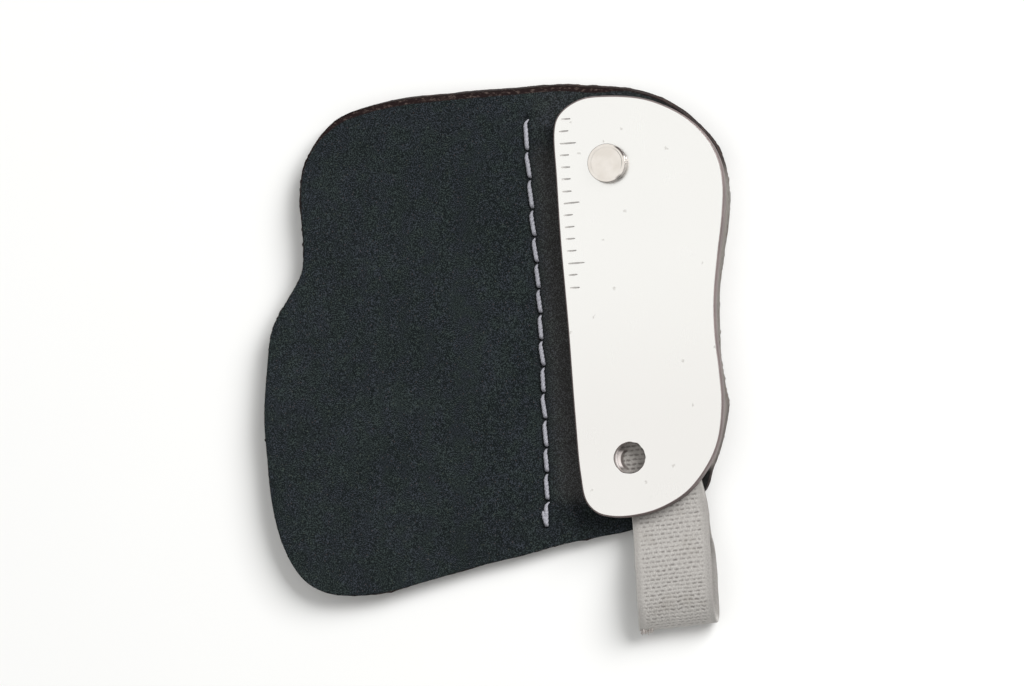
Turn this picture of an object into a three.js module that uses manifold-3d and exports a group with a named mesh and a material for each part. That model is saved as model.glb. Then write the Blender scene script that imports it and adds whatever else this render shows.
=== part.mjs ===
// Archery finger tab, lying on its string side, in millimetres with +Z up.
// Two layers of leather carry a metal plate; an elastic finger strap is looped between them and held by one rivet.
// The plan is drawn from the plate's lower left corner, with +X across the plate and +Y along it.
// The finished tab is then shifted so that its box stands centred on the origin.
import * as THREE from "three";
import { mergeVertices } from "three/addons/utils/BufferGeometryUtils.js";
import Module from "manifold-3d";

const wasm = await Module();
wasm.setup();

// Palm plate
const plateWidth = 28.65;
const plateLength = 69.85;
const plateThickness = 2.5;
const plateRim = 0.35; // rounding of the plate's edges and of its holes
const spacerHoleDiameter = 5.1;
const spacerHoleFromLeft = 12.8;
const spacerHoleFromBottom = 9.8;

// Leather, as far as it reaches past the plate on each side
const leatherPastLeft = 50.05;
const leatherPastBottom = 12.8;
const leatherPastTop = 2.45;
const leatherShortOnRight = 0.1;
const faceThickness = 1.5;
const backingThickness = 1.2;
const glueLine = 0.1;
const knifeLean = 0.6; // how far the cut edge leans out towards the top from the upper to the lower face

// Curl of the leather's free side and of its upper edge
const sideCurl = 2.2;
const sideCurlFromPlate = 8; // the side starts to rise this far left of the plate
const topCurl = 1;
const topCurlDepth = 14; // width of the band along the upper edge that rises
const topCurlFromPlate = 2;
const topCurlRun = 12; // length over which the upper edge's curl fades towards the plate

// Finger strap
const strapWidth = 12.7;
const strapThickness = 0.8;
const strapTilt = THREE.MathUtils.degToRad(6.5);
const strapFromLeft = 18.9; // its centre line, measured across the strap from the plate's corner
const strapLoopLength = 18.3; // from the plate's lower edge to the fold
const strapLoopHeight = 5.6; // between the middles of its two runs; the lower one lies on the table
const strapPastRivet = 5;
const strapEaseOff = 0.5; // flat stretch past the edge that a run leaves
const strapDrift = 0.7; // how far the fold has slid to the left
const strapSwing = 20; // length under the plate over which the strap swings across to the rivet

// Rivet
const rivetFromLeft = 9.3;
const rivetFromTop = 11.4;
const rivetHeadDiameter = 6.4;
const rivetHeadHeight = 1.6;
const rivetHeadBevel = 0.5;
const rivetShankDiameter = 3.2;
const rivetTailThickness = 0.7;

const layerGap = 0.1; // between pieces that are pressed together
const shankGap = 0.15; // round the rivet's shank and its tail
const overCut = 1; // cutting bars reach this far past what they cut

// Fineness of the curves
const leatherSides = 96;
const leatherRings = 6;
const plateSides = 84;
const roundSides = 32;
const strapSteps = 116;
const rimSteps = 2;
const weldDistance = 1e-4; // corners of a mesh this close together are one

// Sizes worked out from the ones above
const leatherWidth = leatherPastLeft + plateWidth - leatherShortOnRight;
const leatherLength = leatherPastBottom + plateLength + leatherPastTop;
const leatherStack = faceThickness + glueLine + backingThickness;
const backingBottom = faceThickness + glueLine;
const lowerRunMiddle = leatherStack + layerGap + strapThickness / 2;
const upperRunMiddle = lowerRunMiddle + strapThickness + layerGap;
const plateBottom = upperRunMiddle + strapThickness / 2 + layerGap;
const plateTop = plateBottom + plateThickness;
const rivetPlace = new THREE.Vector2(rivetFromLeft, plateLength - rivetFromTop);

// Outline of the leather, anticlockwise from its lower right corner, as shares of its width and length.
const leatherOutline = [
  { x: 0.946, y: 0.198 },
  { x: 0.965, y: 0.246 },
  { x: 0.98, y: 0.282 },
  { x: 0.993, y: 0.334 },
  { x: 0.997, y: 0.365 },
  { x: 0.991, y: 0.395 },
  { x: 0.981, y: 0.451 },
  { x: 0.978, y: 0.509 },
  { x: 0.978, y: 0.587 },
  { x: 0.987, y: 0.656 },
  { x: 0.997, y: 0.714 },
  { x: 1, y: 0.773 },
  { x: 0.991, y: 0.832 },
  { x: 0.971, y: 0.877 },
  { x: 0.927, y: 0.922 },
  { x: 0.876, y: 0.958 },
  { x: 0.818, y: 0.981 },
  { x: 0.764, y: 0.991 },
  { x: 0.699, y: 0.996 },
  { x: 0.633, y: 1 },
  { x: 0.547, y: 0.995 },
  { x: 0.44, y: 0.989 },
  { x: 0.287, y: 0.977 },
  { x: 0.199, y: 0.959 },
  { x: 0.158, y: 0.943 },
  { x: 0.128, y: 0.919 },
  { x: 0.102, y: 0.886 },
  { x: 0.082, y: 0.847 },
  { x: 0.075, y: 0.791 },
  { x: 0.079, y: 0.733 },
  { x: 0.083, y: 0.684 },
  { x: 0.079, y: 0.638 },
  { x: 0.059, y: 0.6 },
  { x: 0.029, y: 0.553 },
  { x: 0.014, y: 0.517 },
  { x: 0.006, y: 0.454 },
  { x: 0, y: 0.351 },
  { x: 0.006, y: 0.278 },
  { x: 0.018, y: 0.179 },
  { x: 0.038, y: 0.108 },
  { x: 0.066, y: 0.055 },
  { x: 0.096, y: 0.024 },
  { x: 0.139, y: 0.005 },
  { x: 0.191, y: 0 },
  { x: 0.26, y: 0.006 },
  { x: 0.363, y: 0.031 },
  { x: 0.467, y: 0.058 },
  { x: 0.554, y: 0.077 },
  { x: 0.648, y: 0.1 },
  { x: 0.726, y: 0.114 },
  { x: 0.794, y: 0.127 },
  { x: 0.875, y: 0.164 },
];

// Outline of the plate, anticlockwise from its upper left corner, as shares of its width and length.
const plateOutline = [
  { x: 0, y: 0.918 },
  { x: 0.015, y: 0.801 },
  { x: 0.038, y: 0.658 },
  { x: 0.082, y: 0.456 },
  { x: 0.122, y: 0.242 },
  { x: 0.154, y: 0.103 },
  { x: 0.189, y: 0.038 },
  { x: 0.256, y: 0.01 },
  { x: 0.367, y: 0 },
  { x: 0.518, y: 0.006 },
  { x: 0.646, y: 0.023 },
  { x: 0.786, y: 0.059 },
  { x: 0.902, y: 0.119 },
  { x: 0.966, y: 0.18 },
  { x: 0.99, y: 0.265 },
  { x: 0.976, y: 0.344 },
  { x: 0.952, y: 0.427 },
  { x: 0.946, y: 0.509 },
  { x: 0.967, y: 0.611 },
  { x: 0.994, y: 0.707 },
  { x: 1, y: 0.78 },
  { x: 0.977, y: 0.837 },
  { x: 0.914, y: 0.889 },
  { x: 0.798, y: 0.939 },
  { x: 0.658, y: 0.973 },
  { x: 0.512, y: 0.993 },
  { x: 0.307, y: 1 },
  { x: 0.171, y: 0.995 },
  { x: 0.071, y: 0.974 },
  { x: 0.018, y: 0.949 },
];

// The strap's upper run from the plate to the fold: share of the loop's length past the plate, share of its height.
const upperRun = [
  { out: 0.22, height: 0.82 },
  { out: 0.36, height: 0.94 },
  { out: 0.5, height: 0.99 },
  { out: 0.63, height: 1 },
  { out: 0.77, height: 0.97 },
  { out: 0.89, height: 0.81 },
  { out: 0.955, height: 0.58 },
  { out: 0.975, height: 0.37 },
];

// Its lower run from the fold back to the leather, measured past the leather in the same way.
const lowerRun = [
  { out: 0.93, height: 0.16 },
  { out: 0.83, height: 0.03 },
  { out: 0.69, height: 0.006 },
  { out: 0.53, height: 0.006 },
  { out: 0.38, height: 0.006 },
  { out: 0.29, height: 0.06 },
  { out: 0.2, height: 0.19 },
  { out: 0.11, height: 0.38 },
];

// Where the flat part under the plate has points, so that its swing is smooth: shares of the swing's length.
const strapSwingStops = [1, 0.75, 0.5, 0.25];

// The points of a smooth closed curve through a table's shares of a box.
function closedOutline(table, corner, width, length, sides) {
  const points = table.map((row) => new THREE.Vector3(corner.x + row.x * width, corner.y + row.y * length, 0));
  const curve = new THREE.CatmullRomCurve3(points, true, "centripetal");
  return curve.getSpacedPoints(sides).slice(0, sides).map((p) => new THREE.Vector2(p.x, p.y));
}

// A closed mesh as a solid that can be joined and cut.
function solidOf(geometry) {
  const bare = new THREE.BufferGeometry();
  bare.setAttribute("position", geometry.getAttribute("position"));
  bare.setIndex(geometry.getIndex());
  const merged = mergeVertices(bare, weldDistance);
  return new wasm.Manifold(
    new wasm.Mesh({
      numProp: 3,
      vertProperties: merged.attributes.position.array,
      triVerts: new Uint32Array(merged.index.array),
    }),
  );
}

// The mesh of a cut solid, with flat shading.
function geometryOf(solid) {
  const mesh = solid.getMesh();
  const geometry = new THREE.BufferGeometry();
  geometry.setAttribute("position", new THREE.BufferAttribute(mesh.vertProperties, 3));
  geometry.setIndex(new THREE.BufferAttribute(mesh.triVerts, 1));
  const flat = geometry.toNonIndexed();
  flat.computeVertexNormals();
  return flat;
}

// An upright round bar at the rivet's place.
function barAtRivet(diameter, bottom, top) {
  const bar = new THREE.CylinderGeometry(diameter / 2, diameter / 2, top - bottom, roundSides);
  bar.rotateX(Math.PI / 2);
  bar.translate(rivetPlace.x, rivetPlace.y, (bottom + top) / 2);
  return solidOf(bar);
}

// Directions of the strap in plan: out along its loop, and across it to the right.
function strapOut() {
  return new THREE.Vector2(Math.sin(strapTilt), -Math.cos(strapTilt));
}

function strapAcross() {
  return new THREE.Vector2(Math.cos(strapTilt), Math.sin(strapTilt));
}

// How far out along the strap an outline reaches beneath or above it.
function reachAlongStrap(outline) {
  const beside = (p) => Math.abs(p.dot(strapAcross()) - strapFromLeft) < strapWidth / 2 + strapEaseOff;
  return Math.max(...outline.filter(beside).map((p) => p.dot(strapOut())));
}

function leatherShape() {
  const corner = new THREE.Vector2(-leatherPastLeft, -leatherPastBottom);
  return closedOutline(leatherOutline, corner, leatherWidth, leatherLength, leatherSides);
}

function plateShape() {
  return closedOutline(plateOutline, new THREE.Vector2(0, 0), plateWidth, plateLength, plateSides);
}

// Height of the curled leather's underside: two gentle parabolas, one to the left and one along the upper edge.
function curlAt(x, y) {
  const sideRun = leatherPastLeft - sideCurlFromPlate;
  const side = Math.max(0, (-sideCurlFromPlate - x) / sideRun);
  const upperEdge = plateLength + leatherPastTop;
  const top = Math.max(0, (y - (upperEdge - topCurlDepth)) / topCurlDepth);
  const fade = THREE.MathUtils.clamp((-topCurlFromPlate - x) / topCurlRun, 0, 1);
  return sideCurl * side * side + topCurl * top * top * fade;
}

// One layer of leather between two heights in the stack: a fan of rings from the middle out to the outline,
// once for its upper face and once for its lower one, joined by the cut edge.
function leatherLayer(bottom, top) {
  const outline = leatherShape();
  const middle = new THREE.Vector2(leatherWidth / 2 - leatherPastLeft, leatherLength / 2 - leatherPastBottom);
  const position = [];
  const index = [];
  for (const height of [top, bottom]) {
    const lean = knifeLean * (1 - height / leatherStack);
    const put = (x, y) => position.push(x, y + lean, height + curlAt(x, y));
    put(middle.x, middle.y);
    for (let ring = 1; ring <= leatherRings; ring++)
      for (const edge of outline) {
        const p = middle.clone().lerp(edge, ring / leatherRings);
        put(p.x, p.y);
      }
  }
  const faceSize = 1 + leatherRings * leatherSides;
  const at = (face, ring, side) => face * faceSize + 1 + (ring - 1) * leatherSides + (side % leatherSides);
  for (let side = 0; side < leatherSides; side++) {
    index.push(0, at(0, 1, side), at(0, 1, side + 1));
    index.push(faceSize, at(1, 1, side + 1), at(1, 1, side));
    for (let ring = 1; ring < leatherRings; ring++) {
      pushQuad(index, at(0, ring, side), at(0, ring + 1, side), at(0, ring + 1, side + 1), at(0, ring, side + 1));
      pushQuad(index, at(1, ring, side + 1), at(1, ring + 1, side + 1), at(1, ring + 1, side), at(1, ring, side));
    }
    const rim = leatherRings;
    pushQuad(index, at(0, rim, side), at(1, rim, side), at(1, rim, side + 1), at(0, rim, side + 1));
  }
  const geometry = new THREE.BufferGeometry();
  geometry.setAttribute("position", new THREE.Float32BufferAttribute(position, 3));
  geometry.setIndex(index);
  return geometry;
}

function pushQuad(index, a, b, c, d) {
  index.push(a, b, c, a, c, d);
}

// The layer on the string side, bored for the shank and counterbored for the rivet's tail.
function faceLeather() {
  const hole = barAtRivet(rivetShankDiameter + 2 * shankGap, -overCut, leatherStack);
  const tailTop = layerGap + rivetTailThickness + layerGap;
  const seat = barAtRivet(rivetHeadDiameter + 2 * shankGap, -overCut, tailTop);
  return geometryOf(solidOf(leatherLayer(0, faceThickness)).subtract(hole.add(seat)));
}

function backingLeather() {
  const hole = barAtRivet(rivetShankDiameter + 2 * shankGap, 0, leatherStack + overCut);
  return geometryOf(solidOf(leatherLayer(backingBottom, leatherStack)).subtract(hole));
}

// A round hole in a flat shape.
function roundHole(x, y, diameter) {
  const hole = new THREE.Path();
  hole.absarc(x, y, diameter / 2, 0, 2 * Math.PI, true);
  return hole;
}

// The plate with its rounded rim, its spacer hole and its rivet hole.
function palmPlate() {
  const shape = new THREE.Shape(plateShape());
  shape.holes.push(roundHole(spacerHoleFromLeft, spacerHoleFromBottom, spacerHoleDiameter));
  shape.holes.push(roundHole(rivetPlace.x, rivetPlace.y, rivetShankDiameter + 2 * shankGap));
  const geometry = new THREE.ExtrudeGeometry(shape, {
    depth: plateThickness - 2 * plateRim,
    curveSegments: roundSides / 2,
    bevelThickness: plateRim,
    bevelSize: plateRim,
    bevelOffset: -plateRim,
    bevelSegments: rimSteps,
  });
  return geometry.translate(0, 0, plateBottom + plateRim);
}

// Middle line of the strap seen from its side: distance out along the loop, and height.
function strapMiddleLine() {
  const plateEdge = reachAlongStrap(plateShape()) + strapEaseOff;
  const leatherEdge = reachAlongStrap(leatherShape()) + strapEaseOff;
  const hiddenEnd = rivetPlace.dot(strapOut()) - strapPastRivet;
  const fold = plateEdge + strapLoopLength;
  const place = (row, edge) => {
    const height = strapThickness / 2 + row.height * strapLoopHeight;
    return new THREE.Vector3(edge + row.out * (fold - edge), height, 0);
  };
  const underPlate = strapSwingStops.map((share) => plateEdge - share * strapSwing);
  return [
    new THREE.Vector3(hiddenEnd, upperRunMiddle, 0),
    ...underPlate.map((out) => new THREE.Vector3(out, upperRunMiddle, 0)),
    new THREE.Vector3(plateEdge - strapEaseOff, upperRunMiddle, 0),
    new THREE.Vector3(plateEdge, upperRunMiddle, 0),
    ...upperRun.map((row) => place(row, plateEdge)),
    ...lowerRun.map((row) => place(row, leatherEdge)),
    new THREE.Vector3(leatherEdge, lowerRunMiddle, 0),
    new THREE.Vector3(leatherEdge - strapEaseOff, lowerRunMiddle, 0),
    ...underPlate.reverse().map((out) => new THREE.Vector3(out, lowerRunMiddle, 0)),
    new THREE.Vector3(hiddenEnd, lowerRunMiddle, 0),
  ];
}

// Outline of the strap's side: its middle line set off by half its thickness to both sides.
function strapSide() {
  const curve = new THREE.CatmullRomCurve3(strapMiddleLine(), false, "centripetal");
  const outer = [];
  const inner = [];
  for (let i = 0; i <= strapSteps; i++) {
    const p = curve.getPoint(i / strapSteps);
    const along = curve.getTangent(i / strapSteps);
    const off = new THREE.Vector2(-along.y, along.x).setLength(strapThickness / 2);
    outer.push(new THREE.Vector2(p.x + off.x, p.y + off.y));
    inner.push(new THREE.Vector2(p.x - off.x, p.y - off.y));
  }
  return new THREE.Shape([...outer, ...inner.reverse()]);
}

// Slides the strap to the left: the loop by the square of the share of its length, and the part under the plate
// by a smooth step that brings its middle to the rivet.
function slideStrap(band) {
  const edge = reachAlongStrap(plateShape()) + strapEaseOff;
  const toRivet = strapFromLeft - rivetPlace.dot(strapAcross());
  const place = band.getAttribute("position");
  for (let i = 0; i < place.count; i++) {
    const past = place.getX(i) - edge;
    const share = Math.max(0, past / strapLoopLength);
    const swing = THREE.MathUtils.smoothstep(-past, 0, strapSwing);
    place.setZ(i, place.getZ(i) + strapDrift * share * share + toRivet * swing);
  }
}

// The strap, swept across its width and bored for the rivet's shank.
function fingerStrap() {
  const band = new THREE.ExtrudeGeometry(strapSide(), { depth: strapWidth, bevelEnabled: false });
  band.translate(0, 0, -strapWidth / 2);
  slideStrap(band);
  const out = strapOut();
  const across = strapAcross();
  const turn = new THREE.Matrix4().makeBasis(
    new THREE.Vector3(out.x, out.y, 0),
    new THREE.Vector3(0, 0, 1),
    new THREE.Vector3(-across.x, -across.y, 0),
  );
  turn.setPosition(across.x * strapFromLeft, across.y * strapFromLeft, 0);
  band.applyMatrix4(turn);
  const hole = barAtRivet(rivetShankDiameter + 2 * shankGap, leatherStack, plateTop);
  return geometryOf(solidOf(band).subtract(hole));
}

// The rivet turned about its axis: tail, shank, and a flat head with a bevelled rim.
function rivetBody() {
  const head = rivetHeadDiameter / 2;
  const shank = rivetShankDiameter / 2;
  const headBottom = plateTop + layerGap;
  const headTop = headBottom + rivetHeadHeight;
  const tailTop = layerGap + rivetTailThickness;
  const profile = [
    [0, layerGap],
    [head, layerGap],
    [head, tailTop],
    [shank, tailTop],
    [shank, headBottom],
    [head, headBottom],
    [head, headTop - rivetHeadBevel],
    [head - rivetHeadBevel, headTop],
    [0, headTop],
  ];
  const body = new THREE.LatheGeometry(profile.map(([r, z]) => new THREE.Vector2(r, z)), roundSides);
  return body.rotateX(Math.PI / 2).translate(rivetPlace.x, rivetPlace.y, 0);
}

function named(name, geometry, color, roughness, metalness) {
  const mesh = new THREE.Mesh(geometry, new THREE.MeshStandardMaterial({ color, roughness, metalness }));
  mesh.name = name;
  return mesh;
}

function fingerTab() {
  const tab = new THREE.Group();
  tab.add(named("face_leather", faceLeather(), 0x4a2c24, 0.6, 0));
  tab.add(named("backing_leather", backingLeather(), 0x282d2f, 0.7, 0));
  tab.add(named("finger_strap", fingerStrap(), 0xaeaaa6, 0.9, 0));
  tab.add(named("palm_plate", palmPlate(), 0xdddbd8, 0.25, 1));
  tab.add(named("rivet", rivetBody(), 0xd6d0c8, 0.3, 1));
  const box = new THREE.Box3().setFromObject(tab);
  tab.position.set(-(box.min.x + box.max.x) / 2, -(box.min.y + box.max.y) / 2, 0);
  return tab;
}

const part = new THREE.Group();
part.add(fingerTab());

export default part;
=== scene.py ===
"""Looks of the archery finger tab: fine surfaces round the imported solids, their finishes, and the studio.

Shapes are worked out in millimetres in the plan's frame, whose origin is the plate's lower left corner on the
table, and are put into the meshes in metres in the row frame.
"""

import math

import bpy
import numpy as np
from mathutils import Matrix, Vector


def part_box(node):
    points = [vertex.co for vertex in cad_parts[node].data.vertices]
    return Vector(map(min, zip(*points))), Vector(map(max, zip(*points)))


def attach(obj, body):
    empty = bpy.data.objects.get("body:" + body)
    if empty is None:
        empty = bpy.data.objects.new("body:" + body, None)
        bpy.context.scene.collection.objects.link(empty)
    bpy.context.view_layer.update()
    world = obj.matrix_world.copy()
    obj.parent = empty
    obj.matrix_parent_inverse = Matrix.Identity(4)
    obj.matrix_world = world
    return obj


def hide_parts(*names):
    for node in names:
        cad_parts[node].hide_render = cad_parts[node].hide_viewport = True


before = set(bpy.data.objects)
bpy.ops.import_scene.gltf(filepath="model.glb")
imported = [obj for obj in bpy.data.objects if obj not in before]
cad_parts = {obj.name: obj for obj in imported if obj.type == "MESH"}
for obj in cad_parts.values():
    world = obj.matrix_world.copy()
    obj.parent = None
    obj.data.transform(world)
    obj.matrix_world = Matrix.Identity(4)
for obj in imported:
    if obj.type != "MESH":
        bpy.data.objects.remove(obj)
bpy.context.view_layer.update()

MM = 0.001
PLATE_CORNER = np.array([*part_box("palm_plate")[0][:2], 0.0])

# Palm plate
PLATE_WIDTH = 28.65
PLATE_LENGTH = 69.85
PLATE_BOTTOM = 4.7
PLATE_TOP = 7.2
PLATE_RIM = 0.35  # radius of the plate's rounded rim
SPACER_HOLE = (12.8, 9.8)
SPACER_HOLE_RADIUS = 2.55
HOLE_RIM = 0.07  # radius of the holes' rounded rims
HOLE_UNEVEN = 0.15  # by which the open hole's rim was scraped wider in places
PLATE_SIDES = 420
HOLE_FLARE_STEPS = 6
ROUND_SIDES = 96  # of holes and of the rivet

# Scale struck into the plate along its left side
TICK_COUNT = 15
TICK_PITCH = 2.0
TICK_FIRST = 38.0  # height of the lowest mark above the plate's lower edge
TICK_INSET = 1.0  # from the plate's left side
TICK_SHORT = 1.7
TICK_LONG = 2.9
TICK_WIDTH = 0.3
TICK_DEPTH = 0.13
TICK_TILT = 4.0  # degrees
TICK_GROOVE = ((0, 0.05), (0.06, 0.8), (0.5, 1), (0.92, 0.75), (1, 0.05))  # shares of length and width
METAL, FILED, STRUCK, BORED, SHADED_RIM = range(5)  # the plate's finishes

# Leather
LEATHER_LEFT = 50.05
LEATHER_BELOW = 12.8
LEATHER_WIDTH = 78.6
LEATHER_LENGTH = 85.1
FACE_THICKNESS = 1.5
BACKING_BOTTOM = 1.6
LEATHER_TOP = 2.8
KNIFE_LEAN = 0.6
SIDE_CURL = 2.2
SIDE_CURL_FROM = 8.0
TOP_CURL = 1.0
TOP_CURL_DEPTH = 14.0
TOP_CURL_FROM = 2.0
TOP_CURL_RUN = 12.0
WORN_EDGE = 0.18  # radius of the leather's rounded arris
SURFACE_WAVE = 0.03  # of the backing's face
EDGE_NICK = 0.5  # how steeply nicks in the cut edge deepen
EDGE_FIBRES = 0.07  # by which the cut edge is rough
EDGE_WANDER = 0.06  # by which the knife strayed
LEATHER_ROWS = 330
LEATHER_COLUMNS = (46, 32, 38)  # left of the seam, along it and right of it
SEAM_SHARE = 0.622  # of the way across the leather's lower edge, where the seam points
SEAM_SHARE_LEAN = 0.084  # by which that share is less at the upper edge
SEAM_BAND = 0.033  # share of the way across on each side of the seam that has the close columns

# Seam
THREAD_RADIUS = 0.38
THREAD_PLIES = 3
THREAD_LAY = 2.3  # length in which the plies go once round
STITCH_SLANT = 0.15  # how far a stitch's ends lie to either side of its middle line
STITCH_HOOK = 0.3  # how far a stitch's upper end leans over to the hole
AWL_CUT = (0.5, 0.15)  # half the length and half the width of each hole's slit
AWL_LEAN = 0.12
BED_REACH = 0.52  # to which painted shade darkens the leather beside a stitch's middle
BED_SHORT = 0.04  # share of a stitch's length by which that ends before its holes
BACKING_TROUGH = 0.09  # depth to which a stitch presses the backing in
STRING_TROUGH = 0.52  # and the string side
TROUGH_REACH = 0.75
PIT_DEPTH = 0.1  # of the round pit at each hole
PIT_REACH = 1.3
SLIT_DEPTH = 0.34  # of the awl's slits
STITCH_STATIONS = 42
STITCH_SIDES = 26
STITCH_DIVE = 0.66  # by which a stitch's ends lie below its middle
STITCH_FLAT = 0.82  # a stitch's height as a share of its width
LAST_STITCH = ((-0.5, -1.5), (0.1, 0.3))  # from the last stitch's holes to those of the one sewn over it
STITCH_RISE = 0.27  # of a stitch's middle over the backing
STITCH_SINK = 0.36  # of a stitch's middle into the string side, which lies flat

# Finger strap
STRAP_WIDTH = 12.7
STRAP_THICKNESS = 0.8
STRAP_TILT = math.radians(6.5)
STRAP_FROM_LEFT = 18.9
STRAP_LOOP = 18.3
STRAP_HEIGHT = 5.6
STRAP_PAST_RIVET = 5.0
STRAP_EASE = 0.5  # kept clear of the plate's and the leather's edge
STRAP_DRIFT = 0.7  # by which the loop bends to the left at its fold
STRAP_FLARE = 0.5  # by which the strap's left side is pulled out at the fold
STRAP_FLARE_RUN = 2.8
STRAP_ROUNDING = 0.18  # of the strap's sides, across it
STRAP_COLUMNS = (112, 34)  # points across the outer and the inner face
EDGE_WAVE = 0.09  # of the strap's sides
SHOWN_BEFORE_PLATE = 13.5  # length of the upper run beneath the plate that the open hole may show
LOOP_LENGTH = 23.5  # of the run past the plate that shows from above
STRAP_SWING = 20.0  # length under the plate in which the strap swings over to the rivet
LOWER_RUN_MIDDLE = 3.3
UPPER_RUN_MIDDLE = 4.2
RIB_PITCH = 0.76
RIB_CROWDING = 0.2  # share by which the ribs lie closer at the fold
RIB_DEPTH = 0.13
KNIT_PITCH = 0.84  # of the zigzag that the ribs take near the fold
KNIT_RISE = 0.1
YARN_PITCH = 1.02
SELVEDGE = 1.5
FRAY_COUNT = 30
FRAY_LENGTH = (0.4, 0.85)
FRAY_RADIUS = 0.13
FRAY_SPREAD = 0.9  # how far along the strap from the fold the loose yarn ends start
FRAY_STEPS = 7
FRAY_SIDES = 6
LINE_STEPS = 60  # points of the strap's middle line between two of its table's

# Rivet
RIVET = (9.3, 58.45)
RIVET_HEAD_RADIUS = 3.2
RIVET_SHANK_RADIUS = 1.6
RIVET_HEAD_TOP = 8.9
RIVET_TAIL_TOP = 0.8
HEAD_FLAT = 2.6  # radius of the head's flat face
HEAD_SLOPE = 0.04  # fall from the flat face to the head's arris
HEAD_ARRIS = 0.11  # radius of the head's rounded arris
HEAD_GROOVE = ((0.06, 0.012), (0.03, 0.021))  # round the flat face: (past its radius, below it)
TAIL_ROUNDING = ((0.12, 0.01), (0.03, 0.06), (0, 0.16))  # (in from the tail's side, up from its face)
SHANK_GAP = 0.15
LAYER_GAP = 0.1

# Painted light, shade and grime
# Dark streaks on the rivet head's arris, painted dark reflection and grime: the way from its axis, and the
# cosines between which each fades in
DARK_STREAK_WAYS = (((0.755, 0.656), 0.89, 0.97), ((0.643, -0.766), 0.965, 1.02))
LIGHT_POOL_SHIFT = (0.07, -0.1)  # from the open hole's middle to that of the disc beneath it whose left rim carries the painted crescent of light and shadow line
LIGHT_POOL_RADIUS = 1.98

# Light and camera
KEY_WAY = (0.62, 0.5, 0.66)  # towards the lamp
LAMP_GAP = (0.4, 0.32, 0.86)  # towards the dark gap between the lamp and the light overhead
LAMP_DISTANCE = 2.0  # this and the lamp's size in metres
LAMP_SIZE = 1.15
LAMP_POWER = 49.0
FLOOR_HALF = 1500.0
FLOOR_DROP = 0.02
CAMERA_TARGET = Vector((2.817, 2.164, 3.0)) * MM
CAMERA_DISTANCE = 0.7  # metres
CAMERA_LEAN_X = math.radians(12)  # to the right of straight down
CAMERA_LEAN_Y = math.radians(-4)
CAMERA_LENS = 147.66  # focal length
CAMERA_FILM = 36.0  # width of the film

# Colours as the eye sees them, from 0 to 255. A pair is what a pattern goes between.
SLATE_GROUND = (17, 22, 23)
SLATE_SPECKS = ((56, 61, 68), (55, 64, 63))
SLATE_FLECKS = ((76, 66, 66), (70, 76, 66))
SLATE_SHADOW_LIFT = ((72, 70, 69), (108, 107, 106))
FLESH_BROWNS = ((33, 23, 23), (88, 76, 71))
FLESH_AT_CUT = (20, 15, 15)
GAP_LIGHT_GREY = (138, 132, 127)
CORNER_SHADE = (6, 5, 6)
SLIT_SHADE = (5, 4, 7)
STRING_BROWNS = ((66, 42, 34), (96, 64, 50))
EDGE_BROWNS = ((26, 19, 19), (72, 61, 57))
EDGE_WAX = (36, 26, 25)
EDGE_GREYS = ((96, 91, 88), (150, 147, 141))
EDGE_GREY_BELOW = (84, 76, 73)
PLATE_WHITES = ((246, 245, 242), (250, 249, 246))
PLATE_SHADE_BELOW = (242, 240, 237)
PLATE_SCUFF = (186, 182, 176)
FILED_AND_SHADE_GREYS = ((96, 84, 83), (146, 132, 130))
FILED_PATCH = (92, 82, 81)
STRUCK_SHADE_GREYS = ((120, 116, 114), (212, 209, 205))
BORE_HIGHLIGHT = ((236, 230, 228), (252, 248, 246))
BORE_DULL = ((138, 127, 123), (190, 182, 178))
RIM_SHADE_DARKS = ((42, 34, 33), (106, 98, 94))
RIVET_WHITES = ((229, 222, 214), (238, 232, 225))
RIVET_STREAK_DARK = (70, 62, 60)
RIVET_SIDE_GREYS = ((150, 143, 138), (206, 200, 194))
RIVET_SIDE_STREAK_DARK = (58, 50, 48)
RIB_GREYS = ((156, 152, 148), (192, 189, 185))
DASH_SHADE = (110, 106, 103)
WEBBING_DIRT = (134, 128, 118)
WEBBING_SPECK = (74, 70, 66)
SELVEDGE_GREY = (134, 131, 128)
LEFT_SIDE_LIGHT = (222, 220, 216)
RIGHT_SIDE_SHADE = (104, 101, 99)
LOWER_RUN_GREY = (110, 107, 104)
FOLD_WHITE = (255, 251.6, 247)
HOLE_SHADE_AND_DUST = ((72, 67, 65), (178, 176, 171))
SHADOW_LINE = (66, 54, 52)
LIT_YARN = (250, 243, 240)
FRAYED_GREYS = ((172, 162, 158), (212, 207, 202))
THREAD_LILACS = ((122, 121, 130), (182, 183, 190))
FLOOR_WHITES = ((238.6, 238.6, 237.4), (241, 241, 239.8))
SKY_WHITE = (1.0, 1.0, 0.99, 1)

# Outline of the leather, anticlockwise from its lower right corner, as shares of its width and length.
LEATHER_OUTLINE = [
    (0.946, 0.198), (0.965, 0.246), (0.98, 0.282), (0.993, 0.334), (0.997, 0.365), (0.991, 0.395),
    (0.981, 0.451), (0.978, 0.509), (0.978, 0.587), (0.987, 0.656), (0.997, 0.714), (1, 0.773),
    (0.991, 0.832), (0.971, 0.877), (0.927, 0.922), (0.876, 0.958), (0.818, 0.981), (0.764, 0.991),
    (0.699, 0.996), (0.633, 1), (0.547, 0.995), (0.44, 0.989), (0.287, 0.977), (0.199, 0.959),
    (0.158, 0.943), (0.128, 0.919), (0.102, 0.886), (0.082, 0.847), (0.075, 0.791), (0.079, 0.733),
    (0.083, 0.684), (0.079, 0.638), (0.059, 0.6), (0.029, 0.553), (0.014, 0.517), (0.006, 0.454),
    (0, 0.351), (0.006, 0.278), (0.018, 0.179), (0.038, 0.108), (0.066, 0.055), (0.096, 0.024),
    (0.139, 0.005), (0.191, 0), (0.26, 0.006), (0.363, 0.031), (0.467, 0.058), (0.554, 0.077),
    (0.648, 0.1), (0.726, 0.114), (0.794, 0.127), (0.875, 0.164),
]

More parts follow.
